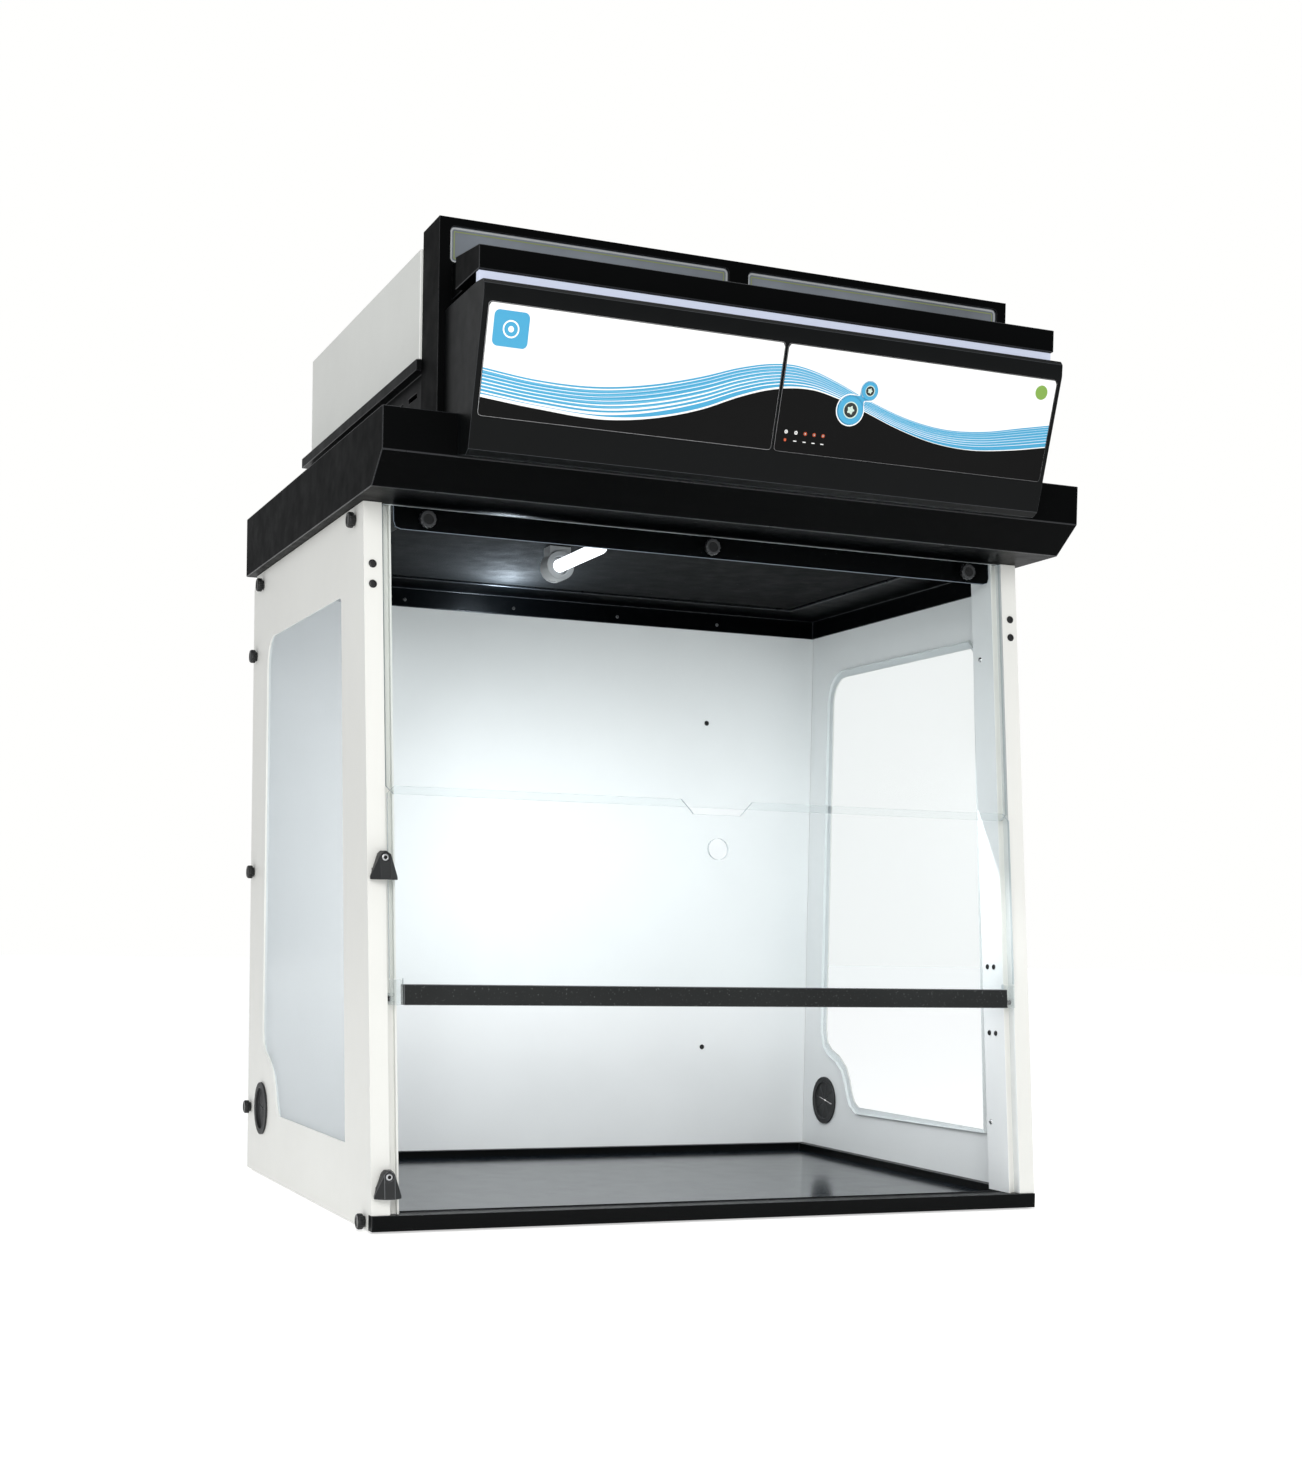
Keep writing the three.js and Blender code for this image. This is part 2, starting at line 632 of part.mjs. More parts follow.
// Stop blocks: a raised band between sloping flanks, bored for a socket screw.
STOP_LOW.forEach((low, index) => {
  const suffix = index === 0 ? 'lower' : 'upper';
  const top = low + STOP_HEIGHT;
  const points = [];
  const flanks = [
    [STOP_HALF, low],
    [STOP_HALF, low + 3],
    [STOP_BAND_HALF + 1, top - 3],
    [STOP_BAND_HALF - 2, top],
  ];
  for (const [half, z] of flanks) {
    for (const side of [-1, 1]) {
      points.push(new THREE.Vector3(STOP_X + side * half, LOWER_OFF - 0.6, z));
      points.push(new THREE.Vector3(STOP_X + side * half, LOWER_OFF - 2.6, z));
    }
  }
  for (const z of [low, top - 4]) {
    points.push(new THREE.Vector3(STOP_X - STOP_BAND_HALF, -STOP_PROUD, z));
    points.push(new THREE.Vector3(STOP_X + STOP_BAND_HALF, -STOP_PROUD, z));
  }
  points.push(new THREE.Vector3(STOP_X, -STOP_PROUD + 1, top));
  let block = solid(leaned(new ConvexGeometry(points)));
  const footLeft = STOP_X - STOP_FOOT_HALF;
  const footRight = -HALF + COLUMN_WIDTH - 0.6;
  const footTop = low + STOP_FOOT_HIGH;
  block = block.add(leanedBox(footLeft, footRight, LOWER_OFF - 2, STOP_FOOT_BACK, low, footTop));
  const screwZ = top - STOP_SCREW_DROP;
  const seat = LEAN * top - STOP_SCREW_SEAT;
  block = block.subtract(rod('y', STOP_SCREW_R + 0.4, seat - 29, seat, STOP_X, screwZ, 16));
  add(`stop_block_${suffix}`, block, 0x1b1d1e, 0.1, 0.4);
  const face = LEAN * top - STOP_SCREW_FACE;
  let screw = rod('y', STOP_SCREW_R, face, seat - 0.3, STOP_X, screwZ, 16);
  screw = screw.subtract(rod('y', SOCKET_R, face - 0.5, face + 2, STOP_X, screwZ, 6));
  add(`stop_screw_${suffix}`, screw, 0x9a9d9e, 0.9, 0.3);
});

// Clamp rail behind the upper pane and its three clamp knobs in front.
const railOutline = [
  [-RAIL_HALF + 8, RAIL_LOW],
  [RAIL_HALF - 8, RAIL_LOW],
  [RAIL_HALF - 2, RAIL_LOW + 2],
  [RAIL_HALF, RAIL_LOW + 8],
  [RAIL_HALF, PANEL_TOP],
  [-RAIL_HALF, PANEL_TOP],
  [-RAIL_HALF, RAIL_LOW + 8],
  [-RAIL_HALF + 2, RAIL_LOW + 2],
];
add('clamp_rail', solid(leaned(acrossY(railOutline, RAIL_OFF, RAIL_OFF + RAIL_THICK))), 0x121415, 0.1, 0.4);

// A turned knob along an axis: base at the origin, head towards +Y.
function knobGeometry(r, high, facets = 16) {
  const profile = [
    new THREE.Vector2(0, 0),
    new THREE.Vector2(r * 0.72, 0),
    new THREE.Vector2(r * 0.72, high * 0.22),
    new THREE.Vector2(r, high * 0.3),
    new THREE.Vector2(r, high * 0.88),
    new THREE.Vector2(r * 0.86, high),
    new THREE.Vector2(0, high),
  ];
  return new THREE.LatheGeometry(profile, facets);
}
['left', 'middle', 'right'].forEach((suffix, index) => {
  const knob = knobGeometry(CLAMP_R, CLAMP_HIGH);
  knob.rotateX(Math.PI).translate(CLAMP_X[index], LEAN * CLAMP_Z + UPPER_OFF - 1, CLAMP_Z);
  add(`clamp_knob_${suffix}`, solid(knob), 0x1c1e1f, 0.1, 0.45);
});

// Header hood: hollow folded shell with the suction opening and inner skirts.
const headOutline = [
  [HEAD_FRONT, HEAD_MID],
  [HEAD_SLOPE_Y, HEAD_LOW],
  [DEPTH, HEAD_LOW],
  [DEPTH, HEAD_TOP],
  [HEAD_FRONT, HEAD_TOP],
];
const headInner = [
  [HEAD_FRONT + HEAD_SKIN, HEAD_MID + 1.25],
  [HEAD_SLOPE_Y + 1, HEAD_LOW + HEAD_SKIN],
  [DEPTH - HEAD_SKIN, HEAD_LOW + HEAD_SKIN],
  [DEPTH - HEAD_SKIN, HEAD_TOP - HEAD_SKIN],
  [HEAD_FRONT + HEAD_SKIN, HEAD_TOP - HEAD_SKIN],
];
let header = solid(acrossX(headOutline, -HEAD_HALF, HEAD_HALF));
header = header.subtract(solid(acrossX(headInner, -HEAD_HALF + HEAD_SKIN, HEAD_HALF - HEAD_SKIN)));
header = header.subtract(box(-DUCT_HALF, DUCT_HALF, DUCT_FRONT, DUCT_BACK, HEAD_LOW - 5, HEAD_TOP + 5));
const skirtX = HALF - SHEET - 1;
const skirtOutline = [
  [-skirtX, SKIRT_FRONT],
  [-skirtX + SHEET, SKIRT_FRONT],
  [-skirtX + SHEET, BACK_Y - 3],
  [skirtX - SHEET, BACK_Y - 3],
  [skirtX - SHEET, SKIRT_FRONT],
  [skirtX, SKIRT_FRONT],
  [skirtX, BACK_Y - 1],
  [-skirtX, BACK_Y - 1],
];
header = header.add(acrossZ(skirtOutline, SKIRT_LOW, HEAD_LOW + 1));
add('header', header, 0x14171a, 0.1, 0.35);

const prefilter = box(
  -DUCT_HALF + GAP,
  DUCT_HALF - GAP,
  DUCT_FRONT + GAP,
  DUCT_BACK - GAP,
  PREFILTER_LOW,
  PREFILTER_LOW + PREFILTER_THICK,
);
add('prefilter', prefilter, 0x16181a, 0, 0.95);

// Lamp holder under the ceiling and the lamp tube plugged into it.
let holder = rod('y', LAMP_SOCKET_R, LAMP_SOCKET_Y, LAMP_SOCKET_Y + LAMP_SOCKET_LONG, LAMP_X, LAMP_Z);
const holderFoot = box(
  LAMP_X - LAMP_FOOT_HALF,
  LAMP_X + LAMP_FOOT_HALF,
  LAMP_SOCKET_Y + 2,
  LAMP_SOCKET_Y + LAMP_SOCKET_LONG - 2,
  LAMP_Z,
  PREFILTER_LOW - GAP,
);
holder = holder.add(holderFoot);
const boreEnd = LAMP_SOCKET_Y + LAMP_SOCKET_BORE_DEEP;
holder = holder.subtract(rod('y', LAMP_SOCKET_BORE, LAMP_SOCKET_Y - 1, boreEnd, LAMP_X, LAMP_Z, 16));
add('lamp_holder', holder, 0xf0f0ee, 0, 0.35);
const tubeProfile = [
  new THREE.Vector2(0, LAMP_TUBE_FRONT),
  new THREE.Vector2(LAMP_TUBE_R * 0.7, LAMP_TUBE_FRONT + 2),
  new THREE.Vector2(LAMP_TUBE_R, LAMP_TUBE_FRONT + 7),
  new THREE.Vector2(LAMP_TUBE_R, LAMP_SOCKET_Y + 6),
  new THREE.Vector2(LAMP_CAP_R, LAMP_SOCKET_Y + 6),
  new THREE.Vector2(LAMP_CAP_R, LAMP_SOCKET_Y + 11.5),
  new THREE.Vector2(0, LAMP_SOCKET_Y + 11.5),
];
const tube = new THREE.LatheGeometry(tubeProfile, 16).translate(LAMP_X, 0, LAMP_Z);
add('lamp_tube', solid(tube), 0xf4f8ff, 0, 0.3, { emissive: 0xffffff });

// Ventilation body: walls with side vents, a flanged deck and the fan opening.
const bodyFront = FRAME_BACK + GAP;
let ventBody = box(-BODY_HALF, BODY_HALF, bodyFront, BODY_BACK, HEAD_TOP + GAP, BODY_DECK_LOW + 1);
ventBody = ventBody.add(box(-DECK_HALF, DECK_HALF, bodyFront, DECK_BACK, BODY_DECK_LOW, BODY_DECK_TOP));
ventBody = ventBody.subtract(
  box(
    -BODY_HALF + BODY_SKIN,
    BODY_HALF - BODY_SKIN,
    bodyFront + BODY_SKIN,
    BODY_BACK - BODY_SKIN,
    HEAD_TOP - 5,
    BODY_DECK_TOP - BODY_SKIN,
  ),
);
ventBody = ventBody.subtract(rod('z', FAN_R, BODY_DECK_LOW - 5, BODY_DECK_TOP + 5, 0, FAN_Y));
for (let i = 0; i < VENTS; i += 1) {
  const y = bodyFront + 30 + i * VENT_PITCH;
  const vent = box(-BODY_HALF - 5, BODY_HALF + 5, y, y + VENT_LONG, ...VENT_Z);
  ventBody = ventBody.subtract(vent);
}

// A box about the centre of the power inlet: half width, front, back, half height.
function inletBox(half, front, back, halfZ) {
  return box(INLET_X - half, INLET_X + half, front, back, INLET_Z - halfZ, INLET_Z + halfZ);
}
ventBody = ventBody.subtract(inletBox(INLET_HALF + 0.5, BODY_BACK - 10, BODY_BACK + 5, INLET_HALF_Z + 0.5));
add('vent_body', ventBody, 0x15181a, 0.1, 0.4);

// Power inlet: flanged shroud with three blades.
let inlet = inletBox(INLET_HALF, BODY_BACK - 20, BODY_BACK + GAP + 1, INLET_HALF_Z);
inlet = inlet.add(inletBox(INLET_HALF + 8, BODY_BACK + GAP, BODY_BACK + 3, INLET_HALF_Z + 3.5));
inlet = inlet.subtract(inletBox(INLET_HALF - 2.5, BODY_BACK - 14, BODY_BACK + 5, INLET_HALF_Z - 2.5));
for (const [dx, dz] of INLET_BLADES) {
  const [x, z] = [INLET_X + dx, INLET_Z + dz];
  inlet = inlet.add(box(x - 1, x + 1, BODY_BACK - 16, BODY_BACK - 1, z - 2, z + 2));
}
add('power_inlet', inlet, 0x1a1a1a, 0, 0.5);

// Main filter: a framed cartridge whose bed is recessed above and below.
const filterFront = DUCT_FRONT + FILTER_INSET;
const filterBack = DUCT_BACK - FILTER_INSET;
const filterLow = PREFILTER_LOW + PREFILTER_THICK + 1;
const bedHalf = FILTER_HALF - FILTER_FRAME;
const bedFront = filterFront + FILTER_FRAME;
const bedBack = filterBack - FILTER_FRAME;
let filter = box(-FILTER_HALF, FILTER_HALF, filterFront, filterBack, filterLow, FILTER_TOP);
filter = filter.subtract(box(-bedHalf, bedHalf, bedFront, bedBack, FILTER_BED[1], FILTER_TOP + 1));
filter = filter.subtract(box(-bedHalf, bedHalf, bedFront, bedBack, filterLow - 1, FILTER_BED[0]));
add('main_filter', filter, 0xd8d8d2, 0, 0.8);

// Axial fan: ducted ring with struts, motor and impeller.
const ringProfile = [
  new THREE.Vector2(FAN_R - 1, FAN_LOW),
  new THREE.Vector2(FAN_R + 16, FAN_LOW),
  new THREE.Vector2(FAN_R + 16, FAN_LOW + 3),
  new THREE.Vector2(FAN_R + 3, FAN_LOW + 3),
  new THREE.Vector2(FAN_R + 3, FAN_HIGH),
  new THREE.Vector2(FAN_R - 1, FAN_HIGH),
  new THREE.Vector2(FAN_R - 1, FAN_LOW),
];
let ring = solid(new THREE.LatheGeometry(ringProfile, 32).rotateX(Math.PI / 2).translate(0, FAN_Y, 0));
for (let i = 0; i < 2; i += 1) {
  const strutLow = FAN_HIGH - 2 - STRUT_HIGH;
  const strut = boxGeometry(-FAN_R - 1, FAN_R + 1, -STRUT_HALF, STRUT_HALF, strutLow, FAN_HIGH - 2);
  strut.rotateZ((i * Math.PI) / 2 + Math.PI / 4).translate(0, FAN_Y, 0);
  ring = ring.add(solid(strut));
}
ring = ring.add(rod('z', HUB_R, FAN_HIGH - 8, FAN_HIGH - 2, 0, FAN_Y));
add('fan_housing', ring, 0x202224, 0.1, 0.5);
add('fan_motor', rod('z', HUB_R - 4, FAN_HIGH - 32, FAN_HIGH - 8 - GAP, 0, FAN_Y), 0x3a3d40, 0.6, 0.4);

let impeller = rod('z', HUB_R, FAN_LOW + 8, FAN_HIGH - 33, 0, FAN_Y);
for (let i = 0; i < BLADES; i += 1) {
  const chord = BLADE_CHORD / 2;
  const blade = boxGeometry(HUB_R - 3, FAN_R - 4, -chord, chord, -BLADE_THICK / 2, BLADE_THICK / 2);
  blade.rotateX(BLADE_PITCH).rotateZ((2 * Math.PI * i) / BLADES);
  blade.translate(0, FAN_Y, (FAN_LOW + FAN_HIGH) / 2 - 11);
  impeller = impeller.add(solid(blade));
}
add('fan_impeller', impeller, 0x2c2f31, 0.1, 0.5);

// Tall front frame with two view slots and the panes behind them.
const frameOutline = [
  [-FRAME_HALF, HEAD_TOP + GAP],
  [FRAME_HALF, HEAD_TOP + GAP],
  [FRAME_HALF, FRAME_TOP],
  [-FRAME_HALF, FRAME_TOP],
];
const slotRight = roundedBox(SLOT_VIEW[0], SLOT_VIEW[1], SLOT_VIEW_Z[0], SLOT_VIEW_Z[1], 5);
const slotLeft = mirrored(slotRight);
let frame = solid(acrossY(frameOutline, FRAME_FRONT, FRAME_BACK));
frame = frame.subtract(
  box(
    -FRAME_HALF + FRAME_SKIN,
    FRAME_HALF - FRAME_SKIN,
    FRAME_FRONT + FRAME_SKIN,
    FRAME_BACK + 5,
    HEAD_TOP + GAP + FRAME_SKIN,
    FRAME_TOP - FRAME_SKIN,
  ),
);
for (const slot of [slotLeft, slotRight]) {
  frame = frame.subtract(solid(acrossY(slot, FRAME_FRONT - 2, FRAME_FRONT + 8)));
}
add('tall_frame', frame, 0x131517, 0.1, 0.4);
for (const [name, slot] of [['frame_window_left', slotLeft], ['frame_window_right', slotRight]]) {
  const outline = grown(slot, 4);
  const paneY = FRAME_FRONT + FRAME_SKIN + GAP;
  add(name, solid(acrossY(outline, paneY, paneY + 2.5)), 0x7b8592, 0.1, 0.25);
}

// Filter casing: an open-bottomed white box with exhaust slots in its lid.
const caseFront = FRAME_BACK + GAP;
let casing = box(-CASE_HALF, CASE_HALF, caseFront, CASE_BACK, BODY_DECK_TOP + GAP, CASE_TOP);
casing = casing.subtract(
  box(
    -CASE_HALF + SHEET,
    CASE_HALF - SHEET,
    caseFront + SHEET,
    CASE_BACK - SHEET,
    BODY_DECK_TOP - 5,
    CASE_TOP - SHEET,
  ),
);
const [slotNear, slotFar] = EXHAUST_X;
for (let i = 0; i < EXHAUST_SLOTS; i += 1) {
  for (const side of [-1, 1]) {
    const y = FAN_Y - 98 + i * EXHAUST_PITCH;
    const lo = Math.min(side * slotNear, side * slotFar);
    const hi = Math.max(side * slotNear, side * slotFar);
    casing = casing.subtract(box(lo, hi, y, y + EXHAUST_WIDTH, CASE_TOP - 5, CASE_TOP + 5));
  }
}
add('filter_casing', casing, 0xe7eae4, 0, 0.4);

// Cornice above the light strip.
const corniceOutline = [
  [CORNICE_FRONT, CORNICE_LOW],
  [FRAME_FRONT - GAP, CORNICE_LOW],
  [FRAME_FRONT - GAP, CORNICE_BACK_HIGH],
  [CORNICE_FRONT, CORNICE_HIGH],
];
const corniceInner = [
  [CORNICE_FRONT + 3, CORNICE_LOW + 3],
  [FRAME_FRONT + 5, CORNICE_LOW + 3],
  [FRAME_FRONT + 5, CORNICE_BACK_HIGH - 2.4],
  [CORNICE_FRONT + 3, CORNICE_HIGH - 2.6],
];
let cornice = solid(acrossX(corniceOutline, -CORNICE_HALF, CORNICE_HALF));
cornice = cornice.subtract(solid(acrossX(corniceInner, -CORNICE_HALF + 12, CORNICE_HALF - 12)));
for (const side of [-1, 1]) {
  const lo = Math.min(side * (CORNICE_HALF - 7), side * (CORNICE_HALF + 5));
  const hi = Math.max(side * (CORNICE_HALF - 7), side * (CORNICE_HALF + 5));
  cornice = cornice.subtract(box(lo, hi, -20, FRAME_FRONT + 5, CORNICE_LOW - 5, CORNICE_BACK_HIGH + 5));
}
add('cornice', cornice, 0x131517, 0.1, 0.35);

const lightStrip = box(-LIGHT_HALF, LIGHT_HALF, LIGHT_FRONT, LIGHT_FRONT + 9, LIGHT_LOW, CORNICE_LOW - GAP);
add('light_strip', lightStrip, 0xe9f0ff, 0, 0.3, { emissive: 0xdfe6ff });

// Control head: a hollow shell, open at the back, with a face that leans forward.
const ctrlOutline = [
  [-92, LIGHT_LOW - GAP],
  [-112.5, LIGHT_LOW - 2.5],
  [-116, LIGHT_LOW - 7],
  [-115.6, FACE_TOP[1] + 4.5],
  FACE_TOP,
  FACE_LOW,
  [-64, 789.6],
  [HEAD_FRONT - GAP, 794.8],
  [HEAD_FRONT - GAP, HEAD_TOP + GAP],
  [FRAME_FRONT - GAP, HEAD_TOP + GAP],
  [FRAME_FRONT - GAP, LIGHT_LOW - GAP],
].reverse();
const ctrlInner = [
  [-92, LIGHT_LOW - 3.2],
  [-110, LIGHT_LOW - 5.4],
  [-112.6, LIGHT_LOW - 9],
  [-111.4, FACE_TOP[1]],
  [FACE_LOW[0] + 3.4, FACE_LOW[1] + 1.4],
  [-63, 792.8],
  [HEAD_FRONT - 3.2, 797.8],
  [HEAD_FRONT - 3.2, HEAD_TOP + 3.2],
  [FRAME_FRONT + 5, HEAD_TOP + 3.2],
  [FRAME_FRONT + 5, LIGHT_LOW - 3.2],
].reverse();
let control = solid(acrossX(ctrlOutline, -CTRL_HALF, CTRL_HALF));
control = control.subtract(solid(acrossX(ctrlInner, -CTRL_HALF + 3, CTRL_HALF - 3)));

// Frame of the tilted face: u runs along X, v up the face, n outward.
const faceUp = new THREE.Vector3(0, FACE_TOP[0] - FACE_LOW[0], FACE_TOP[1] - FACE_LOW[1]).normalize();
const faceOut = new THREE.Vector3(1, 0, 0).cross(faceUp).normalize();
const faceFrame = new THREE.Matrix4().makeBasis(new THREE.Vector3(1, 0, 0), faceUp, faceOut);
faceFrame.setPosition(0, FACE_TOP[0], FACE_TOP[1]);
const faceHeight = (z) => (z - FACE_TOP[1]) / faceUp.z;
const onFace = (points, n0, n1, holes = []) => {
  const geometry = extruded(shapeOf(points, holes), n1 - n0).translate(0, 0, n0);
  return solid(geometry.applyMatrix4(faceFrame));
};
for (const [, x, z, r] of KEYS) {
  control = control.subtract(onFace(circle(x, faceHeight(z), r + 0.5), -8, 1));
}
for (const x of LIP_SLOTS) {
  control = control.subtract(box(x, x + LIP_SLOT_LONG, -56, -50, 780, 800));
}
add('control_head', control, 0x16191b, 0.1, 0.35);

const labelLow = faceHeight(LABEL_LOW_Z);
const keyHoles = KEYS.map(([, x, z, r]) => circle(x, faceHeight(z), r + GAP));
const leftLabel = roundedBox(-LABEL_HALF, LABEL_SPLIT[0], labelLow, 0, 4);
const rightLabel = roundedBox(LABEL_SPLIT[1], LABEL_HALF, labelLow, 0, 4);
const labelBack = 0.1;
let labelRight = onFace(rightLabel, labelBack, labelBack + LABEL_THICK);
for (const hole of keyHoles) {
  labelRight = labelRight.subtract(onFace(hole, -5, 5));
}
add('label_panel_left', onFace(leftLabel, labelBack, labelBack + LABEL_THICK), 0xf4f6f6, 0, 0.2);
add('label_panel_right', labelRight, 0xf4f6f6, 0, 0.2);
for (const [name, x, z, r] of KEYS) {
  add(name, onFace(circle(x, faceHeight(z), r), -1.2, 3), 0x59b7e0, 0, 0.25);
}
const board = roundedBox(...BOARD_X, faceHeight(BOARD_Z[0]), faceHeight(BOARD_Z[1]), 3);
add('control_board', onFace(board, -16, -14), 0x1f5c38, 0, 0.5);

// Thumb knobs on both side panels.
for (const [suffix, side] of [['left', -1], ['right', 1]]) {
  KNOBS.forEach(([y, z], index) => {
    const knob = knobGeometry(KNOB_R, KNOB_HIGH);
    knob.rotateZ((-side * Math.PI) / 2).translate(side * (HALF + GAP), y, z);
    add(`thumb_knob_${suffix}_${index + 1}`, solid(knob), 0x17191a, 0.1, 0.5);
  });
}

export default group;
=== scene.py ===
import math

import bmesh
import bpy
import numpy as np
from mathutils import Matrix, Vector


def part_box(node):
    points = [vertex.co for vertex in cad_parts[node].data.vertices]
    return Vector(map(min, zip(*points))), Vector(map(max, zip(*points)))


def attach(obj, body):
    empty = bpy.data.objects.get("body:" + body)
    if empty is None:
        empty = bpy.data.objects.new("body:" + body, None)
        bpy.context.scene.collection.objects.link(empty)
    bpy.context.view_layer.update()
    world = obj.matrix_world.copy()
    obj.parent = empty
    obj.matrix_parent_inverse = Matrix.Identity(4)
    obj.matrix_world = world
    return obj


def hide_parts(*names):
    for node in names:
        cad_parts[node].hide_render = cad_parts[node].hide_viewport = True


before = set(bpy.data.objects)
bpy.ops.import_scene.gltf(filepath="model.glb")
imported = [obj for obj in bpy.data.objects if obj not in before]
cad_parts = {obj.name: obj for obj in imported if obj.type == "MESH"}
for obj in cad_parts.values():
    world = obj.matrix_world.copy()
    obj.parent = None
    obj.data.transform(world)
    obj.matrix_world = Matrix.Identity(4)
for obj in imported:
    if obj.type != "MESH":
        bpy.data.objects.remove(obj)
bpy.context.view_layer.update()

# ---------------------------------------------------------------------------
# Camera: stands in front of the left corner at about a third of the hood's
# height, tipped down a little, with the lens slid upward to take in the top.
EYE = (-0.96388, -2.33666, 0.31282)
TURN = math.radians(22.6542)
TIP = math.radians(-1.7715)
ROLL = math.radians(1.0934)

lens = bpy.data.cameras.new("studio_lens")
lens.sensor_width = 36.0
lens.lens = 50.876
lens.shift_y = 0.17568
lens.clip_end = 60.0
camera = bpy.data.objects.new("studio_camera", lens)
bpy.context.scene.collection.objects.link(camera)
turned_right = Matrix.Rotation(-TURN, 4, "Z")
tipped = Matrix.Rotation(math.pi / 2 + TIP, 4, "X")
rolled = Matrix.Rotation(ROLL, 4, "Z")
camera.matrix_world = Matrix.Translation(EYE) @ turned_right @ tipped @ rolled
bpy.context.scene.camera = camera
bpy.context.scene.view_settings.view_transform = "Standard"

# ---------------------------------------------------------------------------
# Studio: a matt white floor, a white sky seen behind the hood, a large softbox
# from the front left, a weaker one from the right and one from above.
sky = bpy.data.worlds.new("white_studio")
sky.use_nodes = True
sky_nodes = sky.node_tree.nodes
sky_links = sky.node_tree.links
soft_sky = sky_nodes["Background"]
soft_sky.inputs["Color"].default_value = (0.97, 0.985, 1.0, 1.0)
soft_sky.inputs["Strength"].default_value = 0.5
seen_sky = sky_nodes.new("ShaderNodeBackground")
seen_sky.inputs["Color"].default_value = (1.0, 1.0, 0.99, 1.0)
seen_sky.inputs["Strength"].default_value = 1.0
sky_ray = sky_nodes.new("ShaderNodeLightPath")
sky_mix = sky_nodes.new("ShaderNodeMixShader")
sky_links.new(sky_ray.outputs["Is Camera Ray"], sky_mix.inputs["Fac"])
sky_links.new(soft_sky.outputs["Background"], sky_mix.inputs[1])
sky_links.new(seen_sky.outputs["Background"], sky_mix.inputs[2])
sky_links.new(sky_mix.outputs["Shader"], sky_nodes["World Output"].inputs["Surface"])
bpy.context.scene.world = sky


def panel_light(name, seat, aim, size, watts, tint, high=None):
    """A flat light at seat that faces aim: size square, or size by high."""
    panel = bpy.data.lights.new(name, "AREA")
    if high is not None:
        panel.shape = "RECTANGLE"
        panel.size_y = high
    panel.size = size
    panel.energy = watts
    panel.color = tint
    stand = bpy.data.objects.new(name, panel)
    bpy.context.scene.collection.objects.link(stand)
    stand.location = seat
    stand.rotation_euler = (Vector(aim) - Vector(seat)).to_track_quat("-Z", "Y").to_euler()
    return stand


panel_light("softbox_left", (-1.1, -2.9, 1.3), (-0.2, -0.3, 0.45), 1.2, 34.0, (1.0, 0.995, 0.98))
panel_light("softbox_right", (2.6, -2.6, 1.6), (0.0, 0.0, 0.5), 1.8, 3.0, (0.98, 0.99, 1.0))
panel_light("softbox_top", (0.2, -0.4, 3.4), (0.0, 0.0, 0.8), 2.0, 12.0, (1.0, 1.0, 1.0))

floor_mesh = bpy.data.meshes.new("studio_floor")
floor_mesh.from_pydata([(-14, -9, 0), (14, -9, 0), (14, 19, 0), (-14, 19, 0)], [], [(0, 1, 2, 3)])
studio_floor = bpy.data.objects.new("studio_floor", floor_mesh)
bpy.context.scene.collection.objects.link(studio_floor)
floor_coat = bpy.data.materials.new("floor_paper")
floor_coat.use_nodes = True
floor_shader = floor_coat.node_tree.nodes["Principled BSDF"]
floor_shader.inputs["Base Color"].default_value = (0.93, 0.93, 0.925, 1.0)
floor_shader.inputs["Roughness"].default_value = 0.9
floor_shader.inputs["Specular IOR Level"].default_value = 0.1
floor_shader.inputs["Emission Color"].default_value = (1.0, 1.0, 0.995, 1.0)
floor_shader.inputs["Emission Strength"].default_value = 0.56
floor_mesh.materials.append(floor_coat)


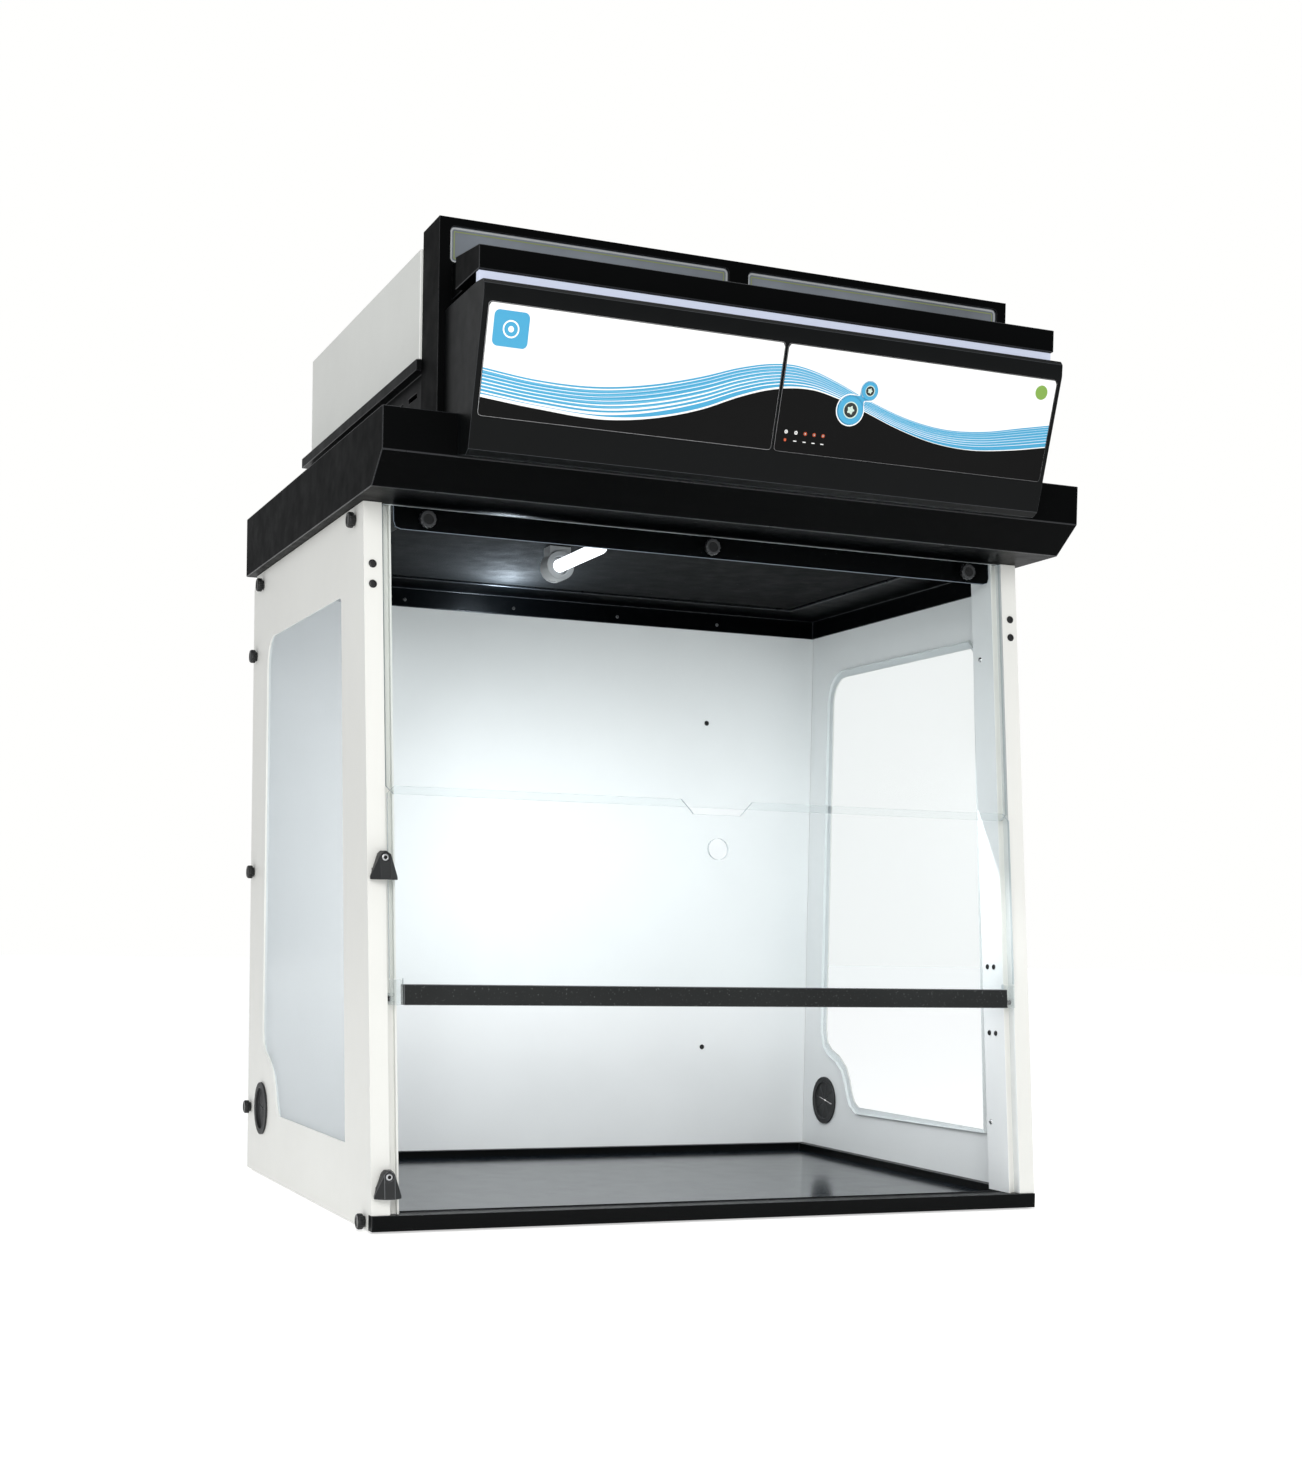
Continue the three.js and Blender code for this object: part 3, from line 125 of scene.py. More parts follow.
# ---------------------------------------------------------------------------
# Base tray: one pressed steel pan with a proud front lip and raised rims, powder coated black. The
# coat is satin; its rounded edges are painted lighter, partly for rubbed wear and partly as a
# painted highlight.
def powder(name, colour, rough, grain=900.0, depth=0.00001, mottle=0.08, shine=0.25,
           glints=0.0, metal=0.0):
    """A sprayed or moulded finish in the part's own metres.

    colour is varied by a slow cloud times mottle, roughness by a finer cloud, and a grain of the
    given count per metre lifts the surface by depth; the argument after shine is the share of grain
    points painted bright as glints, a painted sparkle.
    """
    slow, finer = 7.0, 45.0
    made = bpy.data.materials.new(name)
    made.use_nodes = True
    tree = made.node_tree
    shader = tree.nodes["Principled BSDF"]
    shader.inputs["Metallic"].default_value = metal
    shader.inputs["Specular IOR Level"].default_value = shine
    place = tree.nodes.new("ShaderNodeTexCoord").outputs["Object"]

    def cloud(scale, detail):
        noise = tree.nodes.new("ShaderNodeTexNoise")
        noise.inputs["Scale"].default_value = scale
        noise.inputs["Detail"].default_value = detail
        tree.links.new(place, noise.inputs["Vector"])
        return noise.outputs["Fac"]

    def spread(value, low, high, clip_low=0.3, clip_high=0.7):
        span = tree.nodes.new("ShaderNodeMapRange")
        span.inputs["From Min"].default_value = clip_low
        span.inputs["From Max"].default_value = clip_high
        span.inputs["To Min"].default_value = low
        span.inputs["To Max"].default_value = high
        tree.links.new(value, span.inputs["Value"])
        return span.outputs["Result"]

    tone = tree.nodes.new("ShaderNodeMix")
    tone.data_type = "RGBA"
    tree.links.new(spread(cloud(slow, 4.0), 0.0, 1.0), tone.inputs["Factor"])
    tone.inputs["A"].default_value = (*(max(0.0, c * (1 - mottle)) for c in colour), 1.0)
    tone.inputs["B"].default_value = (*(min(1.0, c * (1 + mottle)) for c in colour), 1.0)
    shown = tone.outputs["Result"]
    grit = cloud(grain, 2.0)
    # Bright points of the grain are painted in as glints of sparkle.
    if glints:
        spark = tree.nodes.new("ShaderNodeMix")
        spark.data_type = "RGBA"
        points = spread(cloud(grain * 0.7, 1.0), 0.0, 1.0, 0.74 - glints, 0.8)
        tree.links.new(points, spark.inputs["Factor"])
        tree.links.new(shown, spark.inputs["A"])
        spark.inputs["B"].default_value = (*(min(1.0, c * 2.5 + 0.05) for c in colour), 1.0)
        shown = spark.outputs["Result"]
    tree.links.new(shown, shader.inputs["Base Color"])
    dull = spread(cloud(finer, 3.0), rough * 0.88, min(1.0, rough * 1.12))
    tree.links.new(dull, shader.inputs["Roughness"])
    lift = tree.nodes.new("ShaderNodeBump")
    lift.inputs["Strength"].default_value = 0.4
    lift.inputs["Distance"].default_value = depth
    tree.links.new(grit, lift.inputs["Height"])
    tree.links.new(lift.outputs["Normal"], shader.inputs["Normal"])
    return made


SHARP = math.radians(35)


def eased(name, node, radius, coats, body="hood", sort=None):
    """The sheet or moulding of one frame node with its edges rounded over.

    Corners that share a place to a thousandth of a millimetre are joined, flats become
    one face each, and each edge that turns more than 35 degrees is rounded by radius.
    sort(centres, normals) gives the coat of each face; the last coat is the edges'.
    """
    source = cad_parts[node].data
    places = np.empty(len(source.vertices) * 3)
    source.vertices.foreach_get("co", places)
    corners = np.empty(len(source.loops), dtype=np.int64)
    source.loops.foreach_get("vertex_index", corners)
    microns = np.round(places.reshape(-1, 3) * 1e6).astype(np.int64)
    kept, back = np.unique(microns, axis=0, return_inverse=True)
    sides = back.reshape(-1)[corners].reshape(-1, 3)
    whole = (sides[:, 0] != sides[:, 1]) & (sides[:, 1] != sides[:, 2])
    whole &= sides[:, 0] != sides[:, 2]
    mesh = bpy.data.meshes.new(name)
    mesh.from_pydata((kept / 1e6).tolist(), [], sides[whole].tolist())
    work = bmesh.new()
    work.from_mesh(mesh)
    bmesh.ops.dissolve_limit(work, angle_limit=0.008, verts=work.verts, edges=work.edges)
    work.to_mesh(mesh)
    work.free()
    for coat in coats:
        mesh.materials.append(coat)
    if sort is not None:
        count = len(mesh.polygons)
        centres = np.empty(count * 3)
        normals = np.empty(count * 3)
        mesh.polygons.foreach_get("center", centres)
        mesh.polygons.foreach_get("normal", normals)
        chosen = sort(centres.reshape(-1, 3), normals.reshape(-1, 3))
        mesh.polygons.foreach_set("material_index", chosen)
    mesh.shade_smooth()
    mesh.set_sharp_from_angle(angle=SHARP)
    piece = bpy.data.objects.new(name, mesh)
    bpy.context.scene.collection.objects.link(piece)
    if radius:
        round_over = piece.modifiers.new("round_over", "BEVEL")
        round_over.width = radius
        round_over.segments = 2
        round_over.limit_method = "ANGLE"
        round_over.angle_limit = SHARP
        round_over.harden_normals = True
        # The rounded edges take the last coat; most callers make it lighter than the flats, which
        # paints a highlight along them.
        round_over.material = len(coats) - 1
    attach(piece, body)
    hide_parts(node)
    return piece


black_coat = powder("black_powder_coat", (0.003, 0.0034, 0.0036), 0.34, shine=0.06)
black_edge_worn_and_highlit = powder("black_powder_coat_rubbed_and_highlit", (0.018, 0.02, 0.022), 0.3, shine=0.3)
tray_pan = eased("tray_pan", "tray", 0.0012, [black_coat, black_edge_worn_and_highlit])

# Work surface: a removable plate of gloss dark laminate dropped in the tray.
worktop_coat = powder("worktop_gloss", (0.008, 0.012, 0.018), 0.14, grain=260.0, shine=0.32)
# Its rounded edges take the same lighter edge coat, partly wear and partly a painted highlight.
worktop = eased("worktop_plate", "work_surface", 0.0006, [worktop_coat, black_edge_worn_and_highlit])

# Runners: two strips of black rubber the tray stands on, glued underneath.
runner_rubber = powder("runner_rubber", (0.02, 0.02, 0.02), 0.85, grain=1400.0,
                       depth=0.00008, shine=0.2)
for side in ("left", "right"):
    runner = eased(f"foot_runner_{side}", f"runner_{side}", 0.0005, [runner_rubber, runner_rubber])

# ---------------------------------------------------------------------------
# Side panels: 2 mm steel sheet folded into a column with a groove and a return strip, sprayed warm
# white outside; the inner faces are painted a cooler white for the lamp's light on them, and the
# rounded edges a lighter white as a highlight.
panel_coat = powder("panel_white", (0.80, 0.80, 0.765), 0.38, grain=700.0, depth=0.00003,
                    mottle=0.015)
panel_inside_lamp_tint = powder("panel_white_inside_lamp_tint", (0.80, 0.825, 0.83), 0.36, grain=700.0,
                      depth=0.00003, mottle=0.02)
# A lighter white for rounded edges: a painted highlight.
panel_edge_highlight = powder("panel_white_edge_highlight", (0.86, 0.86, 0.84), 0.3, grain=700.0, depth=0.00002,
                    mottle=0.01)
SIDES = (("left", -1.0), ("right", 1.0))
WALL_FROM = 0.36
for side, sign in SIDES:

    def facing(centres, normals, sign=sign):
        """Coat 1, the cooler white painted for the lamp's light, on wall faces that look into the
        chamber, coat 0 elsewhere.
        """
        inward = (normals[:, 0] * sign < -0.7) & (np.abs(centres[:, 0]) > WALL_FROM)
        return inward.astype(np.int32)

    sheet = eased(f"side_sheet_{side}", f"side_panel_{side}", 0.0008,
                  [panel_coat, panel_inside_lamp_tint, panel_edge_highlight], sort=facing)


# Side windows: 4 mm clear sheet behind the cut-out, faintly blue, with polished cut edges painted a
# light grey as a highlight.
def clear_sheet(name, tint, haze, haze_colour, rough=0.06):
    """Sheet that lets light straight through.

    The glossy share is haze plus (1 - cosine of the view angle) to the fifth; the rest is
    clear and takes the tint.
    """
    made = bpy.data.materials.new(name)
    made.use_nodes = True
    tree = made.node_tree
    gloss = tree.nodes["Principled BSDF"]
    gloss.inputs["Roughness"].default_value = rough
    place = tree.nodes.new("ShaderNodeTexCoord").outputs["Object"]
    smear = tree.nodes.new("ShaderNodeTexNoise")
    smear.inputs["Scale"].default_value = 5.0
    smear.inputs["Detail"].default_value = 3.0
    tree.links.new(place, smear.inputs["Vector"])
    milk = tree.nodes.new("ShaderNodeMix")
    milk.data_type = "RGBA"
    milk.inputs["A"].default_value = (*(c * 0.96 for c in haze_colour), 1.0)
    milk.inputs["B"].default_value = (*haze_colour, 1.0)
    tree.links.new(smear.outputs["Fac"], milk.inputs["Factor"])
    tree.links.new(milk.outputs["Result"], gloss.inputs["Base Color"])
    through = tree.nodes.new("ShaderNodeBsdfTransparent")
    through.inputs["Color"].default_value = (*tint, 1.0)
    angle = tree.nodes.new("ShaderNodeLayerWeight")
    angle.inputs["Blend"].default_value = 0.5
    graze = tree.nodes.new("ShaderNodeMath")
    graze.operation = "POWER"
    graze.inputs[1].default_value = 5.0
    tree.links.new(angle.outputs["Facing"], graze.inputs[0])
    share = tree.nodes.new("ShaderNodeMath")
    share.operation = "ADD"
    share.use_clamp = True
    share.inputs[1].default_value = haze
    tree.links.new(graze.outputs["Value"], share.inputs[0])
    blend = tree.nodes.new("ShaderNodeMixShader")
    tree.links.new(share.outputs["Value"], blend.inputs["Fac"])
    tree.links.new(through.outputs["BSDF"], blend.inputs[1])
    tree.links.new(gloss.outputs["BSDF"], blend.inputs[2])
    tree.links.new(blend.outputs["Shader"], tree.nodes["Material Output"].inputs["Surface"])
    return made


side_sheet_clear = clear_sheet("side_window_sheet", (0.985, 0.99, 0.99), 0.03,
                               (0.72, 0.78, 0.82), 0.16)
side_window_edge_highlight = powder("side_window_cut_edge_highlight", (0.86, 0.90, 0.90), 0.25, mottle=0.02,
                          shine=0.5)


def window_faces(centres, normals):
    """Coat 0 on the two broad faces, which look sideways, and 1 on the cut edge."""
    return (np.abs(normals[:, 0]) < 0.7).astype(np.int32)


for side in ("left", "right"):
    window = eased(f"side_glazing_{side}", f"side_window_{side}", 0.0,
                   [side_sheet_clear, side_window_edge_highlight], sort=window_faces)

# Glands: black rubber grommets with a web cut into flaps for a cable.
gland_rubber = powder("gland_rubber", (0.016, 0.017, 0.018), 0.6, grain=1200.0,
                      depth=0.00006, shine=0.4)
# The grommets' rounded edges are painted lighter as a highlight.
gland_edge_highlight = powder("gland_rubber_edge_highlight", (0.05, 0.053, 0.055), 0.5, shine=0.4)
for side in ("left", "right"):
    gland = eased(f"cable_gland_{side}", f"gland_{side}", 0.0005, [gland_rubber, gland_edge_highlight])

# Back panel: one white sheet with returned side flanges, screwed at four points; its white is
# painted cooler for the lamp's light on it, and its rounded edges a lighter white as a highlight.
lamp_tinted_back_paint = powder("back_white_lamp_tinted", (0.80, 0.825, 0.83), 0.34, grain=700.0, depth=0.00003,
                   mottle=0.02)
back_sheet = eased("back_sheet", "back_panel", 0.0006, [lamp_tinted_back_paint, panel_edge_highlight])


# Hole plugs: black nylon buttons pressed in the spare holes of the columns,
# strips and back panel, each a flat dome on a short shank.
def turned(name, rows, seats, coats, body="hood", around=32, ribs=0, rib_depth=0.0,
           coat_rows=None):
    """Pieces of revolution: each row (distance, height) is swept round every seat.

    A point is seat + height * axis + distance * (cos a * u + sin a * v); ribs cut the
    distance by rib_depth * |sin(ribs * a / 2)| cubed on rows beyond 0.9 of the rim.
    """
    rows = np.asarray(rows, dtype=float)
    angle = np.arange(around) * 2 * math.pi / around
    rim = rows[:, 0].max()
    scale = np.ones((len(rows), around))
    if ribs:
        cut = rib_depth * np.abs(np.sin(ribs * angle / 2)) ** 3
        scale -= (rows[:, :1] > rim * 0.9) * cut[None, :]
    blocks = []
    for origin, axis in seats:
        axis = np.asarray(axis, dtype=float) / np.linalg.norm(axis)
        aside = np.array([0.0, 0.0, 1.0]) if abs(axis[2]) < 0.9 else np.array([1.0, 0.0, 0.0])
        u = np.cross(aside, axis)
        u /= np.linalg.norm(u)
        v = np.cross(axis, u)
        ring = np.cos(angle)[None, :, None] * u + np.sin(angle)[None, :, None] * v
        reach = (rows[:, :1] * scale)[:, :, None]
        blocks.append(np.asarray(origin) + rows[:, 1][:, None, None] * axis + reach * ring)
    points = np.stack(blocks)
    n_seats, n_rows = points.shape[:2]
    s, r, a = np.meshgrid(np.arange(n_seats), np.arange(n_rows - 1), np.arange(around),
                          indexing="ij")
    at = lambda row, col: (s * n_rows + row) * around + col % around
    quads = np.stack([at(r, a), at(r, a + 1), at(r + 1, a + 1), at(r + 1, a)], axis=-1)
    quads = quads.reshape(-1, 4)
    mesh = bpy.data.meshes.new(name)
    mesh.from_pydata(points.reshape(-1, 3).tolist(), [], quads.tolist())
    for coat in coats:
        mesh.materials.append(coat)
    if coat_rows is not None:
        chosen = np.asarray(coat_rows, dtype=np.int32)[r.reshape(-1)]
        mesh.polygons.foreach_set("material_index", chosen)
    work = bmesh.new()
    work.from_mesh(mesh)
    bmesh.ops.remove_doubles(work, verts=work.verts, dist=1e-7)
    bmesh.ops.recalc_face_normals(work, faces=work.faces)
    work.to_mesh(mesh)
    work.free()
    mesh.shade_smooth()
    mesh.set_sharp_from_angle(angle=SHARP)
    piece = bpy.data.objects.new(name, mesh)
    bpy.context.scene.collection.objects.link(piece)
    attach(piece, body)
    return piece


LEAN = 13 / 128
FRONT = np.array([0.0, -1.0, LEAN]) / math.hypot(1.0, LEAN)
FRONT_FOOT = 0.252


def on_front(x, z, off=0.0):
    """A point of the inclined front: the depth is the lean times the height, plus off."""
    return (x, LEAN * z + off - FRONT_FOOT, z)


plug_nylon = powder("plug_nylon", (0.006, 0.006, 0.007), 0.42, shine=0.45)
plug_rows = [(0.0, -0.0016), (0.0030, -0.0016), (0.0036, -0.0008), (0.0041, 0.0001),
             (0.0044, 0.0005), (0.0040, 0.0011), (0.0026, 0.0014), (0.0024, 0.0007),
             (0.0, 0.0006)]
COLUMN_X, STRIP_X, BACK_FACE = 0.3906, 0.369, 0.3495
column_seats = [(on_front(x, z), FRONT) for x in (-COLUMN_X, COLUMN_X) for z in (0.676, 0.6975)]
column_plugs = turned("column_plugs", plug_rows, column_seats, [plug_nylon])
strip_rows = [(r * 0.72, h) for r, h in plug_rows]
strip_seats = [(on_front(side * STRIP_X, z, off), (-side, 0.0, 0.0))
               for side in (-1.0, 1.0) for z in (0.2045, 0.283) for off in (0.024, 0.038)]
strip_plugs = turned("strip_plugs", strip_rows, strip_seats, [plug_nylon])
back_rows = [(r * 0.78, h) for r, h in plug_rows]
back_holes = ((0.2335, 0.611), (0.236, 0.1573), (-0.2335, 0.611), (-0.236, 0.1573))
back_seats = [((x, BACK_FACE, z), (0.0, -1.0, 0.0)) for x, z in back_holes]
back_plugs = turned("back_plugs", back_rows, back_seats, [plug_nylon])

# ---------------------------------------------------------------------------
# Front panes: two 4 mm clear acrylic sheets; the cut edges are flame polished, and their light
# lines are painted on as a highlight. The lower one slides up behind its handle bar.
pane_clear = clear_sheet("pane_acrylic", (0.975, 0.985, 0.985), 0.0, (0.8, 0.84, 0.85), 0.03)
pane_edge_highlight = powder("pane_cut_edge_highlight", (0.55, 0.60, 0.62), 0.2, mottle=0.02, shine=0.5)


def pane_faces(centres, normals):
    """Coat 0 on the two broad faces, which lie along the lean, and 1 on the cut edge."""
    return (np.abs(normals @ FRONT) < 0.9).astype(np.int32)


upper_glazing = eased("upper_glazing", "upper_pane", 0.0, [pane_clear, pane_edge_highlight], sort=pane_faces)
lower_glazing = eased("lower_glazing", "lower_pane", 0.0, [pane_clear, pane_edge_highlight], "sash",
                      sort=pane_faces)

# Handle bar: folded aluminium channel with a coarse black textured coat, gripping the lower edge of
# the sliding pane. Its sparkle is painted in as bright glints in the grain, and its rounded edges
# are painted grey as a highlight.
bar_coat = powder("bar_textured_black", (0.012, 0.0135, 0.0135), 0.42, grain=620.0,
                  depth=0.0003, mottle=0.15, shine=0.25, glints=0.08)
bar_edge_highlight = powder("bar_textured_edge_highlight", (0.12, 0.125, 0.13), 0.4, grain=620.0, depth=0.0002)
grip_bar = eased("grip_bar", "handle_bar", 0.0006, [bar_coat, bar_edge_highlight], "sash")

# Bar ends: moulded clear brackets that carry the sprung plungers.
bracket = clear_sheet("bracket_moulding", (0.93, 0.95, 0.95), 0.12, (0.88, 0.90, 0.89), 0.15)
for side in ("left", "right"):
    end_bracket = eased(f"bar_bracket_{side}", f"bar_end_{side}", 0.0007, [bracket, bracket],
                        "sash")

# Plungers: turned black acetal pins with a domed nose and a grip groove.
pin_acetal = powder("plunger_acetal", (0.012, 0.012, 0.013), 0.35, shine=0.45)
pin_rows = [(0.0, 0.0), (0.0024, 0.0), (0.0028, 0.0003), (0.0028, 0.0012), (0.0024, 0.0014),
            (0.0024, 0.0019), (0.0028, 0.0021), (0.0028, 0.0032), (0.0020, 0.0037),
            (0.0, 0.0038)]
PIN_X, PIN_Z, PIN_OFF = 0.3756, 0.2415, 0.0072
for side, sign in SIDES:
    pin_seat = (on_front(sign * PIN_X, PIN_Z, PIN_OFF), (sign, 0, 0))
    plunger = turned(f"plunger_pin_{side}", pin_rows, [pin_seat], [pin_acetal],
                     f"{side}_plunger")
    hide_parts(f"plunger_{side}")

# Stop blocks: black nylon wedges with a raised band, screwed on the left column; their rounded
# edges are painted grey as a highlight.
block_nylon = powder("stop_block_nylon", (0.014, 0.015, 0.016), 0.42, grain=1100.0,
                     depth=0.00004, shine=0.4)
highlight_and_screw_grey = powder("stop_block_edge_highlight", (0.10, 0.105, 0.11), 0.35, shine=0.5)
screw_steel = powder("screw_stainless", (0.55, 0.56, 0.57), 0.28, metal=1.0, mottle=0.05, shine=0.5)
# Near-black painted into the screw recesses as shade; the rating plate's printed lines use it too.
socket_shade_and_print_dark = powder("screw_socket_shade_and_print", (0.02, 0.02, 0.02), 0.5)
for place in ("lower", "upper"):
    block = eased(f"travel_stop_{place}", f"stop_block_{place}", 0.0008, [block_nylon, highlight_and_screw_grey])
    low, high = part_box(f"stop_screw_{place}")
    seat = ((low[0] + high[0]) / 2, low[1], (low[2] + high[2]) / 2)
    r = (high[0] - low[0]) / 2
    socket_rows = [(0.0, 0.0026), (r * 0.5, 0.0026), (r * 0.52, 0.0), (r * 0.62, -0.0001),
                   (r * 0.92, 0.0002), (r, 0.0006), (r, 0.0031), (0.0, 0.0031)]
    # The socket's floor and wall are painted near-black as shade in the recess.
    head = turned(f"cap_screw_{place}", socket_rows, [(seat, (0.0, 1.0, 0.0))],
                  [screw_steel, socket_shade_and_print_dark], around=24, coat_rows=[1, 1, 0, 0, 0, 0, 0])
    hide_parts(f"stop_screw_{place}")

# Small screws: zinc plated pan heads whose shallow recess is painted dark as shade. They hold the
# return strips of the columns and the rear skirt of the header.
pan_rows = [(0.0, 0.0008), (0.0011, 0.0008), (0.0012, 0.0015), (0.0020, 0.0013),
            (0.0028, 0.0007), (0.0031, 0.0), (0.0, -0.0004)]


def pan_heads(name, grow, seats, steel):
    """Pan-head screws at every seat: the section's distances are multiplied by grow."""
    rows = [(r * grow, h) for r, h in pan_rows]
    return turned(name, rows, seats, [steel, socket_shade_and_print_dark], around=20,
                  coat_rows=[1, 0, 0, 0, 0, 0])


pan_seats = [(on_front(side * STRIP_X, z, off), (-side, 0.0, 0.0))
             for side in (-1.0, 1.0) for z, off in ((0.6517, 0.0344), (0.0986, 0.0412))]
pan_screws = pan_heads("pan_head_screws", 1.0, pan_seats, screw_steel)
SKIRT_Y, SKIRT_Z = 0.3465, 0.7485
skirt_seats = [((x, SKIRT_Y, SKIRT_Z), (0.0, -1.0, 0.0)) for x in (-0.206, -0.055, 0.095, 0.245)]
# The skirt screw heads take the same dark grey that paints the block edges' highlight.
skirt_screws = pan_heads("skirt_screws", 0.75, skirt_seats, highlight_and_screw_grey)

# ---------------------------------------------------------------------------
# Clamp rail and knobs: a black strip behind the upper pane and three moulded knobs in front that
# pinch the pane between them. The strip's rounded edges are painted blue-grey and the knobs'
# chamfers lighter grey, as painted highlights.
rail_coat = powder("clamp_rail_black", (0.002, 0.0023, 0.0026), 0.4, depth=0.000004,
                   mottle=0.04, shine=0.04)
# Blue-grey on the strip's rounded edges: a painted highlight.
rail_edge_highlight = powder("clamp_rail_edge_highlight", (0.22, 0.26, 0.32), 0.3, shine=0.5)
clamp_strip = eased("clamp_strip", "clamp_rail", 0.0005, [rail_coat, rail_edge_highlight])
knob_moulding = powder("knob_moulding", (0.007, 0.0075, 0.008), 0.3, grain=1300.0,
                       depth=0.00002, shine=0.35)
# A lighter grey on the knobs' chamfer rows: a painted highlight.
knob_rim_highlight = powder("knob_moulding_rim_highlight", (0.03, 0.032, 0.034), 0.25, grain=1300.0,
                  depth=0.00002, shine=0.5)


def knob_rows(r, high):
    """Section of a moulded knob: shank, undercut, ribbed rim, chamfer and a dished top."""
    return [(0.0, 0.0), (r * 0.7, 0.0), (r * 0.7, high * 0.2), (r * 0.96, high * 0.26),
            (r, high * 0.34), (r, high * 0.8), (r * 0.95, high * 0.92), (r * 0.86, high),
            (r * 0.62, high), (r * 0.55, high * 0.93), (0.0, high * 0.92)]


for place in ("left", "middle", "right"):
    low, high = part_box(f"clamp_knob_{place}")
    r = (high[0] - low[0]) / 2
    seat = ((low[0] + high[0]) / 2, high[1], (low[2] + high[2]) / 2)
    knob = turned(f"pane_knob_{place}", knob_rows(r, high[1] - low[1]), [(seat, (0, -1, 0))],
                  [knob_moulding, knob_rim_highlight], around=72, ribs=12, rib_depth=0.08,
                  coat_rows=[0, 0, 0, 0, 0, 0, 1, 1, 0, 0])
    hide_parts(f"clamp_knob_{place}")

# Thumb knobs: moulded ribbed heads that hold the side panels to the frame.
for side, sign in SIDES:
    for number in range(1, 7):
        node = f"thumb_knob_{side}_{number}"
        low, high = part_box(node)
        r = (high[1] - low[1]) / 2
        seat = (low[0] if sign > 0 else high[0], (low[1] + high[1]) / 2, (low[2] + high[2]) / 2)
        knob = turned(f"panel_knob_{side}_{number}", knob_rows(r, high[0] - low[0]),
                      [(seat, (sign, 0, 0))], [knob_moulding], around=72, ribs=18,
                      rib_depth=0.06)
        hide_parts(node)

# ---------------------------------------------------------------------------
# Header hood: folded black steel cap that overhangs the panels, open in the
# middle for suction. Its underside has a coarser texture than the outside.
header_coat = powder("header_black", (0.0018, 0.002, 0.0021), 0.46, depth=0.000003,
                     shine=0.022)
ceiling_coat = powder("ceiling_textured", (0.0008, 0.001, 0.0012), 0.36, grain=380.0,
                      depth=0.0004, mottle=0.15, shine=0.022)
# Rounded edges of the header, the module body, the tall frame and the cornice are painted lighter
# as a highlight.
header_edge_highlight = powder("header_edge_highlight", (0.014, 0.015, 0.017), 0.3, shine=0.25)
CEILING_TOP, CEILING_HALF, CEILING_FRONT = 0.768, 0.4, -0.14


def header_faces(centres, normals):
    """Coat 1 on the ceiling and the skirts behind the panes, coat 0 elsewhere."""
    inside = (centres[:, 2] < CEILING_TOP) & (np.abs(centres[:, 0]) < CEILING_HALF)
    return (inside & (centres[:, 1] > CEILING_FRONT)).astype(np.int32)


cap = eased("header_cap", "header", 0.001, [header_coat, ceiling_coat, header_edge_highlight],
            sort=header_faces)

# Prefilter: a mat of black polyester fibre laid in the suction opening.
mat_fibre = powder("prefilter_fibre", (0.002, 0.0023, 0.0026), 0.95, grain=420.0,
                   depth=0.0012, mottle=0.3, shine=0.1)
mat = eased("prefilter_mat", "prefilter", 0.002, [mat_fibre, mat_fibre])

# Lamp: white moulded holder and a compact tube plugged into it.
holder_white = powder("lamp_holder_white", (0.32, 0.33, 0.34), 0.3, mottle=0.02, shine=0.5)
holder = eased("lamp_socket", "lamp_holder", 0.0012, [holder_white, holder_white])


def glowing(name, colour, strength, base=(0.9, 0.93, 0.97)):
    """A lit diffuser: its light is dimmed a little by a slow cloud so that it isn't flat."""
    made = bpy.data.materials.new(name)
    made.use_nodes = True
    tree = made.node_tree
    shader = tree.nodes["Principled BSDF"]
    shader.inputs["Base Color"].default_value = (*base, 1.0)
    shader.inputs["Roughness"].default_value = 0.35
    place = tree.nodes.new("ShaderNodeTexCoord").outputs["Object"]
    drift = tree.nodes.new("ShaderNodeTexNoise")
    drift.inputs["Scale"].default_value = 9.0
    tree.links.new(place, drift.inputs["Vector"])
    blend = tree.nodes.new("ShaderNodeMix")
    blend.data_type = "RGBA"
    blend.inputs["A"].default_value = (*(c * 0.93 for c in colour), 1.0)
    blend.inputs["B"].default_value = (*colour, 1.0)
    tree.links.new(drift.outputs["Fac"], blend.inputs["Factor"])
    tree.links.new(blend.outputs["Result"], shader.inputs["Emission Color"])
    shader.inputs["Emission Strength"].default_value = strength
    return made


tube_glow = glowing("lamp_tube_glow", (0.94, 0.97, 1.0), 2.0)
low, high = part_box("lamp_tube")
tube_long = high[1] - low[1]
tube_r, collar_r = 0.0075, 0.0098
bend = np.linspace(0, math.pi / 2, 7)
nose = [(tube_r * math.sin(t), tube_r * (1 - math.cos(t))) for t in bend]
tube_rows = nose + [(tube_r, tube_long - 0.006), (collar_r, tube_long - 0.0055),
                    (collar_r, tube_long), (0.0, tube_long)]
tube_seat = ((low[0] + high[0]) / 2, low[1], (low[2] + high[2]) / 2)
tube = turned("lamp_tube_glass", tube_rows, [(tube_seat, (0, 1, 0))],
              [tube_glow, holder_white], coat_rows=[0] * 7 + [1, 1, 1])
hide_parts("lamp_tube")

